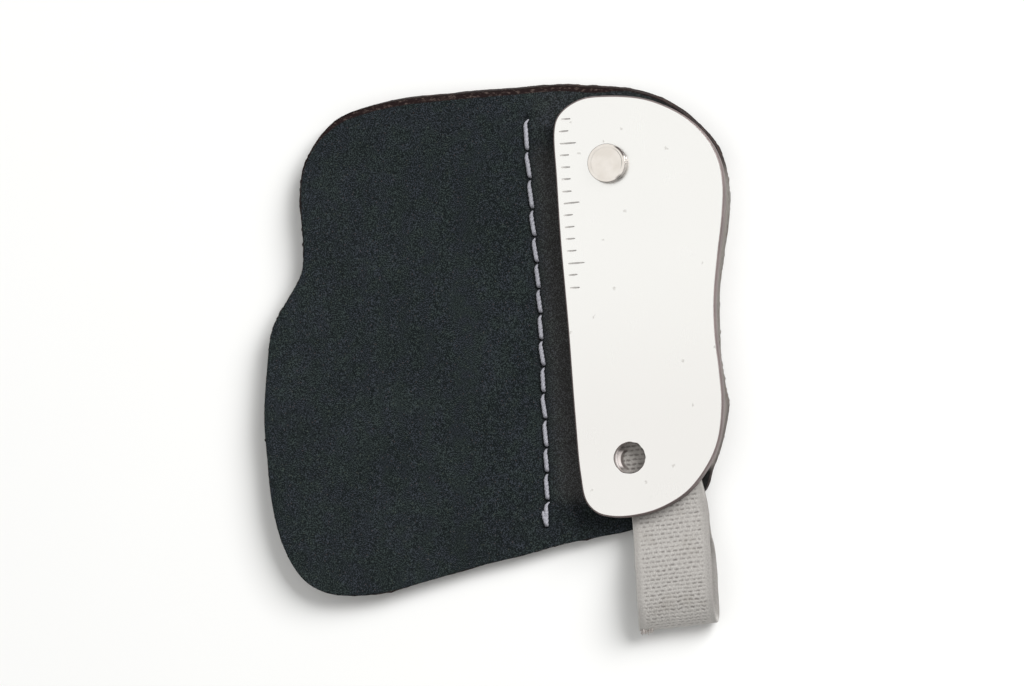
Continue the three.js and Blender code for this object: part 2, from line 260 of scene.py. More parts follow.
# The roundest places of that outline: lower right, upper right, upper left, lower left.
LEATHER_CORNERS = [(0.93, 0.187), (0.955, 0.9), (0.115, 0.905), (0.08, 0.038)]

# Outline of the plate, anticlockwise from its upper left corner, as shares of its width and length.
PLATE_OUTLINE = [
    (0, 0.918), (0.015, 0.801), (0.038, 0.658), (0.082, 0.456), (0.122, 0.242), (0.154, 0.103),
    (0.189, 0.038), (0.256, 0.01), (0.367, 0), (0.518, 0.006), (0.646, 0.023), (0.786, 0.059),
    (0.902, 0.119), (0.966, 0.18), (0.99, 0.265), (0.976, 0.344), (0.952, 0.427), (0.946, 0.509),
    (0.967, 0.611), (0.994, 0.707), (1, 0.78), (0.977, 0.837), (0.914, 0.889), (0.798, 0.939),
    (0.658, 0.973), (0.512, 0.993), (0.307, 1), (0.171, 0.995), (0.071, 0.974), (0.018, 0.949),
]

# The strap's runs past the plate and past the leather: shares of the way to the fold and of the height.
UPPER_RUN = [
    (0.22, 0.82), (0.36, 0.94), (0.5, 0.99), (0.63, 1), (0.77, 0.97), (0.89, 0.81), (0.955, 0.58),
    (0.975, 0.37),
]
LOWER_RUN = [
    (0.93, 0.16), (0.83, 0.03), (0.69, 0.006), (0.53, 0.006), (0.38, 0.006), (0.29, 0.06),
    (0.2, 0.19), (0.11, 0.38),
]

# Holes of the seam from its upper end to its lower one, in the plan.
STITCH_HOLES = [
    (-5.5, 67.0), (-5.42, 61.4), (-4.94, 56.7), (-4.53, 51.6), (-4.14, 47.0), (-3.72, 42.6),
    (-3.43, 38.3), (-3.11, 34.1), (-2.99, 29.7), (-2.59, 25.3), (-2.64, 20.9), (-2.28, 16.5),
    (-2.13, 11.8), (-2.03, 7.6), (-1.97, 3.0), (-2.19, -1.5),
]


# Shapes
def smooth_curve(points, closed, steps=24):
    """A fine polyline on the centripetal Catmull-Rom curve through the points: between two points it is
    the cubic whose end slopes come from the neighbours, weighted by the square roots of their
    distances."""
    p = np.asarray(points, float)
    if closed:
        p = np.vstack([p[-1], p, p[:2]])
    else:
        p = np.vstack([2 * p[0] - p[1], p, 2 * p[-1] - p[-2]])
    gap = np.sqrt(np.linalg.norm(np.diff(p, axis=0), axis=1))[:, None]
    a, b, c, d = p[:-3], p[1:-2], p[2:-1], p[3:]
    before, here, after = gap[:-2], gap[1:-1], gap[2:]
    slope_b = here * ((b - a) / before - (c - a) / (before + here) + (c - b) / here)
    slope_c = here * ((c - b) / here - (d - b) / (here + after) + (d - c) / after)
    t = (np.arange(steps) / steps)[None, :, None]
    b, c, slope_b, slope_c = (v[:, None, :] for v in (b, c, slope_b, slope_c))
    line = (
        b * (2 * t**3 - 3 * t**2 + 1)
        + slope_b * (t**3 - 2 * t**2 + t)
        + c * (3 * t**2 - 2 * t**3)
        + slope_c * (t**3 - t**2)
    ).reshape(-1, p.shape[1])
    last = line[:1] if closed else p[-2:-1]
    return np.vstack([line, last])


def lengths_along(line):
    """Distance along a polyline from its start to each point."""
    return np.concatenate([[0], np.cumsum(np.linalg.norm(np.diff(line, axis=0), axis=1))])


def point_at(line, share):
    """Points of a polyline at shares of its length, from 0 to 1."""
    run = lengths_along(line)
    return np.stack([np.interp(share * run[-1], run, line[:, k]) for k in range(line.shape[1])], axis=-1)


def plate_outline():
    """The plate's closed outline in the plan."""
    return smooth_curve(np.array(PLATE_OUTLINE) * (PLATE_WIDTH, PLATE_LENGTH), closed=True)


def leather_outline():
    """The leather's closed outline in the plan."""
    corner = (-LEATHER_LEFT, -LEATHER_BELOW)
    return smooth_curve(np.array(LEATHER_OUTLINE) * (LEATHER_WIDTH, LEATHER_LENGTH) + corner, closed=True)


def outward(ring):
    """Unit normals of an anticlockwise closed ring: the direction between each point's neighbours, turned
    right."""
    along = np.roll(ring, -1, axis=0) - np.roll(ring, 1, axis=0)
    across = np.stack([along[:, 1], -along[:, 0]], axis=1)
    return across / np.linalg.norm(across, axis=1, keepdims=True)


def plane_noise(x, y, size, seed):
    """Smooth noise from -1 to 1: random numbers on a square lattice of that size, blended by a smooth
    step."""
    table = np.random.default_rng(seed).uniform(-1, 1, (256, 256))
    x, y = np.asarray(x) / size, np.asarray(y) / size
    i, j = np.floor(x).astype(int), np.floor(y).astype(int)
    s, t = smooth_step(x - i, 0, 1), smooth_step(y - j, 0, 1)
    left, right = i % 256, (i + 1) % 256
    low, high = (table[left, k % 256] * (1 - s) + table[right, k % 256] * s for k in (j, j + 1))
    return low * (1 - t) + high * t


def smooth_step(value, low, high):
    """0 below low, 1 above high and 3t^2 - 2t^3 between them."""
    t = np.clip((value - low) / (high - low), 0, 1)
    return t * t * (3 - 2 * t)


def grid_quads(rows, columns, closed_columns=False):
    """Corner numbers of the quads of a grid of points counted row by row."""
    row, column = np.meshgrid(
        np.arange(rows - 1), np.arange(columns if closed_columns else columns - 1), indexing="ij"
    )
    right = (column + 1) % columns
    low, high = row * columns, (row + 1) * columns
    quads = [low + column, low + right, high + right, high + column]
    return np.stack(quads, axis=-1).reshape(-1, 4)


def skin(rings):
    """A closed body through rings of points: quads from ring to ring, and a flat cap on the first and the
    last. Each ring runs anticlockwise seen from the end that the last ring is at."""
    rows, columns = rings.shape[:2]
    quads = grid_quads(rows, columns, closed_columns=True)
    first = list(range(columns))[::-1]
    last = list(range((rows - 1) * columns, rows * columns))
    return rings.reshape(-1, 3), [*quads.tolist(), first, last]


def joined(bodies):
    """Several closed bodies, each given by its rings, as one set of points and faces."""
    points, faces, start = [], [], 0
    for rings in bodies:
        body, sides = skin(rings)
        points.append(body)
        faces += [[corner + start for corner in side] for side in sides]
        start += len(body)
    return np.vstack(points), faces


def placed(name, shown):
    """A new object in the scene for a mesh, a light or a camera."""
    made = bpy.data.objects.new(name, shown)
    bpy.context.scene.collection.objects.link(made)
    return made


def build(name, points, faces, materials, slot="", face_materials=None, uv=None, marks=None):
    """A piece from points in the plan's millimetres: smooth quads, flat caps, riding on the tab's one
    body. The marks are named numbers of each point, which its finish may read."""
    mesh = bpy.data.meshes.new(name)
    mesh.from_pydata(((points * MM) + PLATE_CORNER).tolist(), [], faces)
    for material in materials:
        mesh.materials.append(material)
    mesh.polygons.foreach_set("use_smooth", [len(face) < 5 for face in faces])
    if face_materials is not None:
        mesh.polygons.foreach_set("material_index", face_materials)
    if uv is not None:
        corners = np.empty(len(mesh.loops), dtype=np.int32)
        mesh.loops.foreach_get("vertex_index", corners)
        mesh.uv_layers.new(name="weave").data.foreach_set("uv", uv[corners].ravel())
    for label, numbers in (marks or {}).items():
        mesh.attributes.new(label, "FLOAT", "POINT").data.foreach_set("value", numbers.astype(np.float32))
    mesh.update()
    made = placed(name, mesh)
    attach(made, "root")
    return made


def cut_out(target, cutter):
    """Takes the cutter's solid out of the target's and deletes the cutter."""
    modifier = target.modifiers.new("cut", "BOOLEAN")
    modifier.operation = "DIFFERENCE"
    modifier.solver = "EXACT"
    modifier.object = cutter
    cut = bpy.data.meshes.new_from_object(target.evaluated_get(bpy.context.evaluated_depsgraph_get()))
    target.modifiers.clear()
    target.data = cut
    bpy.data.objects.remove(cutter)


def turned(profile, centre):
    """Rings of a profile of (radius, height) turned about an upright axis in the plan."""
    angle = np.linspace(0, 2 * math.pi, ROUND_SIDES, endpoint=False)
    radius, height = np.asarray(profile, float).T
    x = centre[0] + radius[:, None] * np.cos(angle)
    y = centre[1] + radius[:, None] * np.sin(angle)
    return np.stack([x, y, np.broadcast_to(height[:, None], x.shape)], axis=-1)


def quarter(radius, steps):
    """Points on a quarter circle from straight out to straight up: (across, up) from its centre."""
    angle = np.linspace(0, math.pi / 2, steps)
    return np.stack([radius * np.cos(angle), radius * np.sin(angle)], axis=1)


# Leather
def curl_at(x, y):
    """Height of the leather's underside: a parabola to the left of the plate and one along the upper edge."""
    side = np.maximum(0, (-SIDE_CURL_FROM - x) / (LEATHER_LEFT - SIDE_CURL_FROM))
    upper_edge = LEATHER_LENGTH - LEATHER_BELOW
    top = np.maximum(0, (y - (upper_edge - TOP_CURL_DEPTH)) / TOP_CURL_DEPTH)
    fade = np.clip((-TOP_CURL_FROM - x) / TOP_CURL_RUN, 0, 1)
    return SIDE_CURL * side**2 + TOP_CURL * top**2 * fade


def stitch_spans():
    """The two holes of each stitch, from the seam's upper end to its lower one."""
    holes = np.array(STITCH_HOLES)
    return list(zip(holes[:-1], holes[1:]))


def off_stitches(x, y, short=0.0):
    """Distance from the nearest stitch's straight line, which ends that share of its length before both
    holes."""
    nearest = np.full(x.shape, np.inf)
    for here, there in stitch_spans():
        run = there - here
        share = ((x - here[0]) * run[0] + (y - here[1]) * run[1]) / (run @ run)
        share = np.clip(share, short, 1 - short)
        away = np.hypot(x - here[0] - share * run[0], y - here[1] - share * run[1])
        nearest = np.minimum(nearest, away)
    return nearest


def awl_slits(x, y):
    """1 in the short slits that the awl cut at the seam's holes, nearly square to the seam, falling off
    round them as exp(-(along / half length)^4 - (across / half width)^2)."""
    cut = np.zeros_like(x)
    for hole in STITCH_HOLES:
        along = (x - hole[0]) + AWL_LEAN * (y - hole[1])
        across = (y - hole[1]) - AWL_LEAN * (x - hole[0])
        cut = np.maximum(cut, np.exp(-((along / AWL_CUT[0]) ** 4) - (across / AWL_CUT[1]) ** 2))
    return cut


def thread_bed(x, y):
    """1 beneath the seam's thread, falling off beside it as exp(-(distance / reach)^4)."""
    return np.exp(-((off_stitches(x, y, BED_SHORT) / BED_REACH) ** 4))


def seam_press(x, y, trough):
    """How deep the seam presses the leather in: a trough of that depth along each stitch and a round pit
    at each hole, both falling off as exp(-(distance / reach)^2), and the awl's slits."""
    depth = trough * np.exp(-((off_stitches(x, y) / TROUGH_REACH) ** 2))
    for hole in STITCH_HOLES:
        depth += PIT_DEPTH * np.exp(-((np.hypot(x - hole[0], y - hole[1]) / PIT_REACH) ** 2))
    return depth + SLIT_DEPTH * awl_slits(x, y)


def column_shares(up):
    """Shares of the way across for the rows at those shares of the way up: even to the left of the seam,
    closer together along it, and even to its right."""
    seam = SEAM_SHARE - SEAM_SHARE_LEAN * up
    knots = np.concatenate([0 * seam, seam - SEAM_BAND, seam + SEAM_BAND, 0 * seam + 1], axis=1)
    last = len(LEATHER_COLUMNS) - 1
    spans = [np.linspace(k, k + 1, count, endpoint=k == last) for k, count in enumerate(LEATHER_COLUMNS)]
    place = np.concatenate(spans)
    low = np.minimum(place.astype(int), last)
    return knots[:, low] + (place - low) * (knots[:, low + 1] - knots[:, low])


def leather_patch(ring):
    """A sheet stretched between the closed ring's four sides: each point is the blend across, plus the
    blend along, less the blend of the four corners."""
    corners = np.array(LEATHER_CORNERS) * (LEATHER_WIDTH, LEATHER_LENGTH) - (LEATHER_LEFT, LEATHER_BELOW)
    at = [int(np.argmin(np.linalg.norm(ring - corner, axis=1))) for corner in corners]
    turn = np.roll(ring, -at[0], axis=0)
    stops = [(k - at[0]) % len(ring) for k in at] + [len(ring)]
    turn = np.vstack([turn, turn[:1]])
    right, top, left, bottom = (turn[a : b + 1] for a, b in zip(stops[:-1], stops[1:]))
    v = np.linspace(0, 1, LEATHER_ROWS)[:, None]
    u = column_shares(v)
    v = np.broadcast_to(v, u.shape)
    across = (1 - u)[..., None] * point_at(left, 1 - v) + u[..., None] * point_at(right, v)
    along = (1 - v)[..., None] * point_at(bottom, u) + v[..., None] * point_at(top, 1 - u)
    low_left, low_right, up_right, up_left = left[-1], right[0], right[-1], top[-1]
    u, v = u[..., None], v[..., None]
    blend = (1 - u) * (1 - v) * low_left + u * (1 - v) * low_right + u * v * up_right + (1 - u) * v * up_left
    return across + along - blend


def distance_to(outline, grid):
    """Each grid point's distance from the nearest of the outline's points."""
    return np.array([np.min(np.linalg.norm(row[:, None] - outline, axis=2), axis=1) for row in grid])


def rim_numbers(rows, columns):
    """Numbers of a grid's outer points, anticlockwise from its lower left corner."""
    number = np.arange(rows * columns).reshape(rows, columns)
    return np.concatenate([number[0, :-1], number[:-1, -1], number[-1, :0:-1], number[:0:-1, 0]])


def edge_rings(rim, shown, hidden):
    """Rings from the shown face's rim over the worn arris and down the rough cut edge, then back in under
    the layer; and how many of them are the arris's and the edge's."""
    inward = math.copysign(1, hidden - shown)
    normal = outward(rim)
    away = lengths_along(rim) + 40
    steps = [(out, shown + inward * (WORN_EDGE - up)) for out, up in quarter(WORN_EDGE, 4)[::-1][1:]]
    steps += [(WORN_EDGE, height) for height in np.linspace(shown + inward * WORN_EDGE, hidden, 7)[1:]]
    nicks = EDGE_NICK * np.maximum(0, plane_noise(away, 0 * away, 0.8, 5) - 0.62)
    rings = []
    for out, height in steps:
        rough = EDGE_FIBRES * plane_noise(away, 0 * away + height * 2.2, 0.45, 7) + nicks
        rough += EDGE_WANDER * plane_noise(away, 0 * away + height, 2.6, 8)
        ring = rim + normal * (out + rough * (out >= WORN_EDGE))[:, None]
        rings.append(np.column_stack([ring, np.full(len(ring), height)]))
    middle = rim.mean(axis=0)
    for share in (0.85, 0.68, 0.5, 0.32, 0.15):
        rings.append(np.column_stack([middle + (rim - middle) * share, np.full(len(rim), hidden)]))
    return np.array(rings), len(steps)


def leather_layer(name, low, high, shown_up, leather, cut_edge, slot):
    """One layer: its shown face is a fine patch, pressed in along the seam, and rings run on from the
    patch's rim. The knife leaned, so that lower layers reach further up the plan, and the whole curls
    up at its sides."""
    outline = leather_outline()[:-1]
    patch = leather_patch(outline - WORN_EDGE * outward(outline))
    x, y = patch[..., 0], patch[..., 1]
    if shown_up:
        shown, hidden = high, low
        relief = SURFACE_WAVE * plane_noise(x + 90, y + 90, 7.0, 3) - seam_press(x, y, BACKING_TROUGH)
    else:
        shown, hidden = low, high
        relief = seam_press(x, y, STRING_TROUGH)
    face = np.stack([x, y, shown + relief], axis=-1)
    rim = rim_numbers(*x.shape)
    rings, edge_count = edge_rings(patch.reshape(-1, 2)[rim], shown, hidden)
    points = np.vstack([face.reshape(-1, 3), rings.reshape(-1, 3)])
    points[:, 1] += KNIFE_LEAN * (1 - points[:, 2] / LEATHER_TOP)
    points[:, 2] += curl_at(points[:, 0], points[:, 1])
    start, count = x.size, len(rim)
    follow = np.vstack([rim, start + np.arange(len(rings) * count).reshape(-1, count)])
    beyond = np.roll(follow, -1, axis=1)
    patch_quads = grid_quads(*x.shape)
    ring_quads = np.stack([follow[:-1], follow[1:], beyond[1:], beyond[:-1]], axis=-1).reshape(-1, 4)
    cap = follow[-1]
    if shown_up:
        cap = cap[::-1]
    else:
        patch_quads, ring_quads = patch_quads[:, ::-1], ring_quads[:, ::-1]
    faces = [*patch_quads.tolist(), *ring_quads.tolist(), cap.tolist()]
    kind = np.zeros(len(faces), dtype=np.int32)
    kind[len(patch_quads) + count : len(patch_quads) + edge_count * count] = 1
    shade = np.maximum(awl_slits(x, y), 0.5 * thread_bed(x, y))
    marks = {"rim": distance_to(outline, patch), "slit": shade}
    walls = np.zeros(len(points) - start)
    marks = {label: np.concatenate([numbers.ravel(), walls]) for label, numbers in marks.items()}
    return build(name, points, faces, [leather, cut_edge], slot, face_materials=kind, marks=marks)


def bar(name, radius, low, high, material):
    """An upright round bar at the rivet's place, to cut with."""
    points, faces = skin(turned([(radius, low), (radius, high)], RIVET))
    return build(name, points, faces, [material])


# Plate
def hole_cutter(centre, radius):
    """Rings of a round bar that flares out by a quarter circle at the plate's lower and upper face."""
    flare = quarter(HOLE_RIM, HOLE_FLARE_STEPS)
    wide = radius + HOLE_RIM
    lower = [(wide - across, PLATE_BOTTOM + HOLE_RIM - up) for across, up in flare[::-1]]
    upper = [(wide - across, PLATE_TOP - HOLE_RIM + up) for across, up in flare]
    return turned([(wide, PLATE_BOTTOM - 1), *lower, *upper, (wide, PLATE_TOP + 1)], centre)


def scrape_wider(rings, centre, radius):
    """Pushes the upper flare of the open hole's cutter outwards by the square of a smooth noise round it."""
    flare = rings[-HOLE_FLARE_STEPS:, :, :2] - centre
    share = (np.linalg.norm(flare, axis=2, keepdims=True) - radius) / HOLE_RIM
    round_it = np.arange(ROUND_SIDES) * 12 / ROUND_SIDES
    uneven = plane_noise(round_it, 0 * round_it, 1.0, 17)[:, None] ** 2
    rings[-HOLE_FLARE_STEPS:, :, :2] += flare * share * uneven * HOLE_UNEVEN / radius


def palm_plate(finishes):
    """The outline carried up through the rounded lower rim, the wall and the rounded upper rim."""
    outline = plate_outline()
    ring = point_at(outline, np.arange(PLATE_SIDES) / PLATE_SIDES)
    normal = outward(ring)
    arc = quarter(PLATE_RIM, 7)
    steps = [(a - PLATE_RIM, PLATE_BOTTOM + PLATE_RIM - b) for a, b in arc[::-1]]
    steps += [(a - PLATE_RIM, PLATE_TOP - PLATE_RIM + b) for a, b in arc]
    rings = [np.column_stack([ring + normal * out, np.full(PLATE_SIDES, height)]) for out, height in steps]
    points, faces = skin(np.array(rings))
    kind = np.full(len(faces), METAL, dtype=np.int32)
    # The lower rim, the wall and most of the upper rim take the filed finish, whose dark greys are partly
    # painted shade.
    kind[: (len(rings) - 2) * PLATE_SIDES] = FILED
    plate = build("polished_palm_plate", points, faces, finishes, "plate_metal", face_materials=kind)
    shank_hole = (RIVET, RIVET_SHANK_RADIUS + SHANK_GAP, FILED)
    # The open hole's rim takes the dark finish painted as shade; the shank hole's rim takes the filed one.
    for centre, radius, rim_finish in ((SPACER_HOLE, SPACER_HOLE_RADIUS, SHADED_RIM), shank_hole):
        rings = hole_cutter(centre, radius)
        if centre == SPACER_HOLE:
            scrape_wider(rings, centre, radius)
        points, faces = skin(rings)
        kind = np.full(len(faces), rim_finish, dtype=np.int32)
        wall = HOLE_FLARE_STEPS * ROUND_SIDES
        kind[wall : wall + ROUND_SIDES] = BORED
        cut_out(plate, build("hole", points, faces, finishes, face_materials=kind))
    for mark in scale_marks(outline):
        points, faces = skin(mark)
        kind = np.full(len(faces), STRUCK, dtype=np.int32)
        cut_out(plate, build("mark", points, faces, finishes, face_materials=kind))
    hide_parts("palm_plate")
    return plate


def scale_marks(outline):
    """V-shaped grooves square to the plate's left side, each fifth one longer, struck a little unevenly by
    hand."""
    draw = np.random.default_rng(11)
    left = outline[(outline[:, 0] < PLATE_WIDTH / 3) & (outline[:, 1] > 0.2 * PLATE_LENGTH)]
    left = left[np.argsort(left[:, 1])]
    rise = 0.5
    marks = []
    for k in range(TICK_COUNT):
        y = TICK_FIRST + k * TICK_PITCH + draw.uniform(-0.06, 0.06)
        x = np.interp(y, left[:, 1], left[:, 0]) + TICK_INSET + draw.uniform(-0.08, 0.08)
        length = (TICK_LONG if k % 5 == 2 else TICK_SHORT) + draw.uniform(-0.1, 0.1)
        tilt = math.radians(TICK_TILT + draw.uniform(-1.5, 1.5))
        depth = TICK_DEPTH * draw.uniform(0.8, 1.1)
        along = np.array([math.cos(tilt), math.sin(tilt)])
        across = np.array([-along[1], along[0]])
        rings = []
        for share, size in TICK_GROOVE:
            middle = np.array([x, y]) + along * length * share
            side = across * TICK_WIDTH / 2 * size * (1 + rise / depth)
            top, bottom = PLATE_TOP + rise * size, PLATE_TOP - depth * size
            rings.append([[*(middle - side), top], [*middle, bottom], [*(middle + side), top]])
        marks.append(np.array(rings))
    return marks


# Rivet
def rivet(metal, side):
    """A profile turned about the rivet's axis: the flat tail, the shank, and the head with its arris, the
    groove round its flat face and the face itself."""
    head, shank = RIVET_HEAD_RADIUS, RIVET_SHANK_RADIUS
    under_head = PLATE_TOP + LAYER_GAP
    profile = [(r, LAYER_GAP) for r in (0.9, 1.8, 2.6)]
    profile += [(head - inwards, LAYER_GAP + up) for inwards, up in TAIL_ROUNDING]
    profile += [(head, RIVET_TAIL_TOP), (shank, RIVET_TAIL_TOP), (shank, under_head)]
    profile += [(head - 0.06, under_head), (head, under_head + 0.05)]
    side_from = (len(profile) - 1) * ROUND_SIDES
    arris_foot = RIVET_HEAD_TOP - HEAD_SLOPE - HEAD_ARRIS
    profile += [(head - HEAD_ARRIS + out, arris_foot + up) for out, up in quarter(HEAD_ARRIS, 6)]
    profile += [(HEAD_FLAT + past, RIVET_HEAD_TOP - below) for past, below in HEAD_GROOVE]
    profile += [(r, RIVET_HEAD_TOP) for r in (HEAD_FLAT, 2.5, 1.9, 1.2, 0.6)]
    points, faces = skin(turned(profile, RIVET))
    kind = np.zeros(len(faces), dtype=np.int32)
    kind[side_from : side_from + 3 * ROUND_SIDES] = 1
    made = build("flat_head_rivet", points, faces, [metal, side], "rivet_metal", face_materials=kind)
    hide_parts("rivet")
    return made


# Finger strap
def strap_directions():
    """Unit vectors in the plan: out along the loop, and across the strap to the right."""
    s, c = math.sin(STRAP_TILT), math.cos(STRAP_TILT)
    return np.array([s, -c]), np.array([c, s])


def reach_along_strap(outline):
    """How far out along the strap an outline reaches beneath or above it."""
    out, across = strap_directions()
    beside = np.abs(outline @ across - STRAP_FROM_LEFT) < STRAP_WIDTH / 2 + STRAP_EASE
    return float(np.max(outline[beside] @ out))


def strap_line():
    """The strap's middle line seen from its side, as (out, height), and the distances along it; then how
    far out the plate's edge is, and the distances at which the strap leaves the plate and the leather."""
    out, _ = strap_directions()
    plate_edge = reach_along_strap(plate_outline()) + STRAP_EASE
    leather_edge = reach_along_strap(leather_outline()) + STRAP_EASE
    hidden_end = float(np.array(RIVET) @ out) - STRAP_PAST_RIVET
    fold = plate_edge + STRAP_LOOP
    middle = STRAP_THICKNESS / 2
    upper = [(plate_edge + a * STRAP_LOOP, middle + b * STRAP_HEIGHT) for a, b in UPPER_RUN]
    lower = [(leather_edge + a * (fold - leather_edge), middle + b * STRAP_HEIGHT) for a, b in LOWER_RUN]
    points = [(hidden_end, UPPER_RUN_MIDDLE), (plate_edge - STRAP_EASE, UPPER_RUN_MIDDLE)]
    points += [(plate_edge, UPPER_RUN_MIDDLE), *upper, *lower, (leather_edge, LOWER_RUN_MIDDLE)]
    points += [(leather_edge - STRAP_EASE, LOWER_RUN_MIDDLE), (hidden_end, LOWER_RUN_MIDDLE)]
    line = smooth_curve(points, closed=False, steps=LINE_STEPS)
    run = lengths_along(line)
    return line, run, plate_edge, run[2 * LINE_STEPS], run[-1 - 2 * LINE_STEPS]


def weave_valleys(along, across, fold):
    """From 0 on the webbing's ribs to 1 in the dashes that part them. The ribs run across the strap and
    waver more near the fold, yarns bridge the valleys between them at uneven places, and the selvedges
    are smoother."""
    near_fold = smooth_step(along, fold - 7, fold - 3)
    waver = 0.07 + 0.06 * near_fold
    crowded = along + RIB_CROWDING * np.maximum(0, along - fold + 10)
    crowded = crowded + KNIT_RISE * near_fold * np.cos(2 * math.pi * across / KNIT_PITCH)
    rib = (crowded + waver * plane_noise(across + 50, along, 0.9, 31)) / RIB_PITCH
    number = np.floor(rib + 0.5)
    valley = ((1 + np.cos(2 * math.pi * rib)) / 2) ** 1.5
    shift = 0.5 * (number % 2) + 0.12 * np.sin(number * 2.4)
    yarn = across / YARN_PITCH + shift + 0.3 * plane_noise(across + 50, number * 3.7, 1.7, 32)
    bridge = ((1 + np.cos(2 * math.pi * yarn)) / 2) ** 4
    inside = 1 - smooth_step(np.abs(across), STRAP_WIDTH / 2 - SELVEDGE, STRAP_WIDTH / 2 - SELVEDGE + 0.5)
    uneven = 0.7 + 0.3 * plane_noise(across + 50, along, 0.5, 33)
    return valley * (1 - 0.75 * bridge) * (0.25 + 0.75 * inside) * uneven


def strap_stations(total, plate_at, leather_at):
    """Distances along the strap at which its section is placed: fine in the loop and under the open hole."""
    fine_from, fine_to, loop_end = plate_at - SHOWN_BEFORE_PLATE, plate_at + LOOP_LENGTH, leather_at + 1.5
    pieces = [
        np.arange(0, fine_from, 1.6),
        np.arange(fine_from, fine_to, RIB_PITCH / 7),
        np.arange(fine_to, loop_end, RIB_PITCH / 6),
        np.arange(loop_end, total - 0.8, 2.0),
        [total],
    ]
    return np.concatenate(pieces)


def band_section():
    """The strap's section, once round: distances across and off its middle line, and 1 on the outer face,
    -1 on the inner one and 0 on the sides, which are half ellipses."""
    flat_half, thick = STRAP_WIDTH / 2 - STRAP_ROUNDING, STRAP_THICKNESS / 2
    face = np.linspace(-flat_half, flat_half, STRAP_COLUMNS[0])
    back = np.linspace(flat_half, -flat_half, STRAP_COLUMNS[1])
    turn = np.linspace(0, math.pi, 6)[1:-1]
    bulge = flat_half + STRAP_ROUNDING * np.sin(turn)
    across = np.concatenate([face, bulge, back, -bulge])
    off = np.concatenate([0 * face + thick, thick * np.cos(turn), 0 * back - thick, -thick * np.cos(turn)])
    on_face = np.concatenate([0 * face + 1, 0 * turn, 0 * back - 1, 0 * turn])
    return across, off, on_face


def finger_strap(webbing, frayed):
    """The section of a flat band carried along the strap's middle line, with the weave's relief on both
    faces. The texture's coordinates are the distances across and along the strap in millimetres."""
    line, run, plate_edge, plate_at, leather_at = strap_line()
    stations = strap_stations(run[-1], plate_at, leather_at)
    out, height = (np.interp(stations, run, line[:, k]) for k in (0, 1))
    slope = np.stack([np.gradient(out, stations), np.gradient(height, stations)], axis=1)
    slope /= np.linalg.norm(slope, axis=1, keepdims=True)
    normal = np.stack([-slope[:, 1], slope[:, 0]], axis=1)
    across, off, on_face = band_section()
    w, s = np.meshgrid(across, stations)
    fold = run[np.argmax(line[:, 0])]
    valleys = weave_valleys(s, w, fold)
    away = off - RIB_DEPTH * valleys * on_face
    half = STRAP_WIDTH / 2
    w = w + EDGE_WAVE * plane_noise(s, 0 * s + 5 * np.sign(w), 2.3, 21) * (np.abs(w) / half) ** 6 * np.sign(w)
    flare = STRAP_FLARE * np.clip(1 - (out.max() - out) / STRAP_FLARE_RUN, 0, 1) ** 2
    w = w - flare[:, None] * smooth_step(-w, 0, half)
    out_way, across_way = strap_directions()
    drift = STRAP_DRIFT * (np.maximum(0, out - plate_edge) / STRAP_LOOP) ** 2
    drift += (STRAP_FROM_LEFT - np.array(RIVET) @ across_way) * smooth_step(plate_edge - out, 0, STRAP_SWING)
    o = out[:, None] + normal[:, :1] * away
    z = height[:, None] + normal[:, 1:] * away
    place = o[..., None] * out_way + (STRAP_FROM_LEFT + w - drift[:, None])[..., None] * across_way
    rings = np.concatenate([place, z[..., None]], axis=-1)
    to_lamp = ((place - SPACER_HOLE) @ np.array(KEY_WAY[:2])) / SPACER_HOLE_RADIUS
    marks = {
        "valley": valleys,
        "past_plate": s - plate_at,
        "lower_run": smooth_step(s, fold, fold + 2),
        "shaded_side": np.clip(to_lamp, -1, 1),
    }
    marks = {label: numbers[::-1].ravel() for label, numbers in marks.items()}
    uv = np.stack([np.broadcast_to(across, s.shape), s], axis=-1)[::-1].reshape(-1, 2)
    points, faces = skin(rings[::-1])
    made = build("elastic_finger_strap", points, faces, [webbing], "webbing", uv=uv, marks=marks)
    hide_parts("finger_strap")
    at_fold = rings[np.abs(stations - fold) < FRAY_SPREAD][:, : STRAP_COLUMNS[0] // 6]
    fray = frayed_ends(at_fold.reshape(-1, 3), frayed)
    return made


def frayed_ends(roots, yarn):
    """Loose yarn ends at the fold's left corner: thin tapered tubes along parabolas that leave the webbing
    outwards and droop."""
    draw = np.random.default_rng(61)
    out_way, across_way = strap_directions()
    share = np.linspace(0, 1, FRAY_STEPS)
    angle = np.linspace(0, 2 * math.pi, FRAY_SIDES, endpoint=False)[:, None]
    radius = FRAY_RADIUS * (1 - 0.6 * share)[:, None, None]
    ends = []
    for _ in range(FRAY_COUNT):
        root = roots[draw.integers(len(roots))]
        aim = out_way * draw.uniform(0.6, 1) - across_way * draw.uniform(-0.1, 0.8)
        aim /= np.linalg.norm(aim)
        length = draw.uniform(*FRAY_LENGTH)
        fall = min(draw.uniform(0.1, 0.5), max(0, root[2] - 0.2))
        line = root + np.column_stack([np.outer(share, aim * length), -fall * share**2])
        side = np.array([-aim[1], aim[0], 0])
        ends.append(line[:, None] - radius * (np.cos(angle) * side + np.sin(angle) * np.array([0, 0, 1])))
    points, faces = joined(ends)
    return build("frayed_yarn_ends", points, faces, [yarn], "webbing")


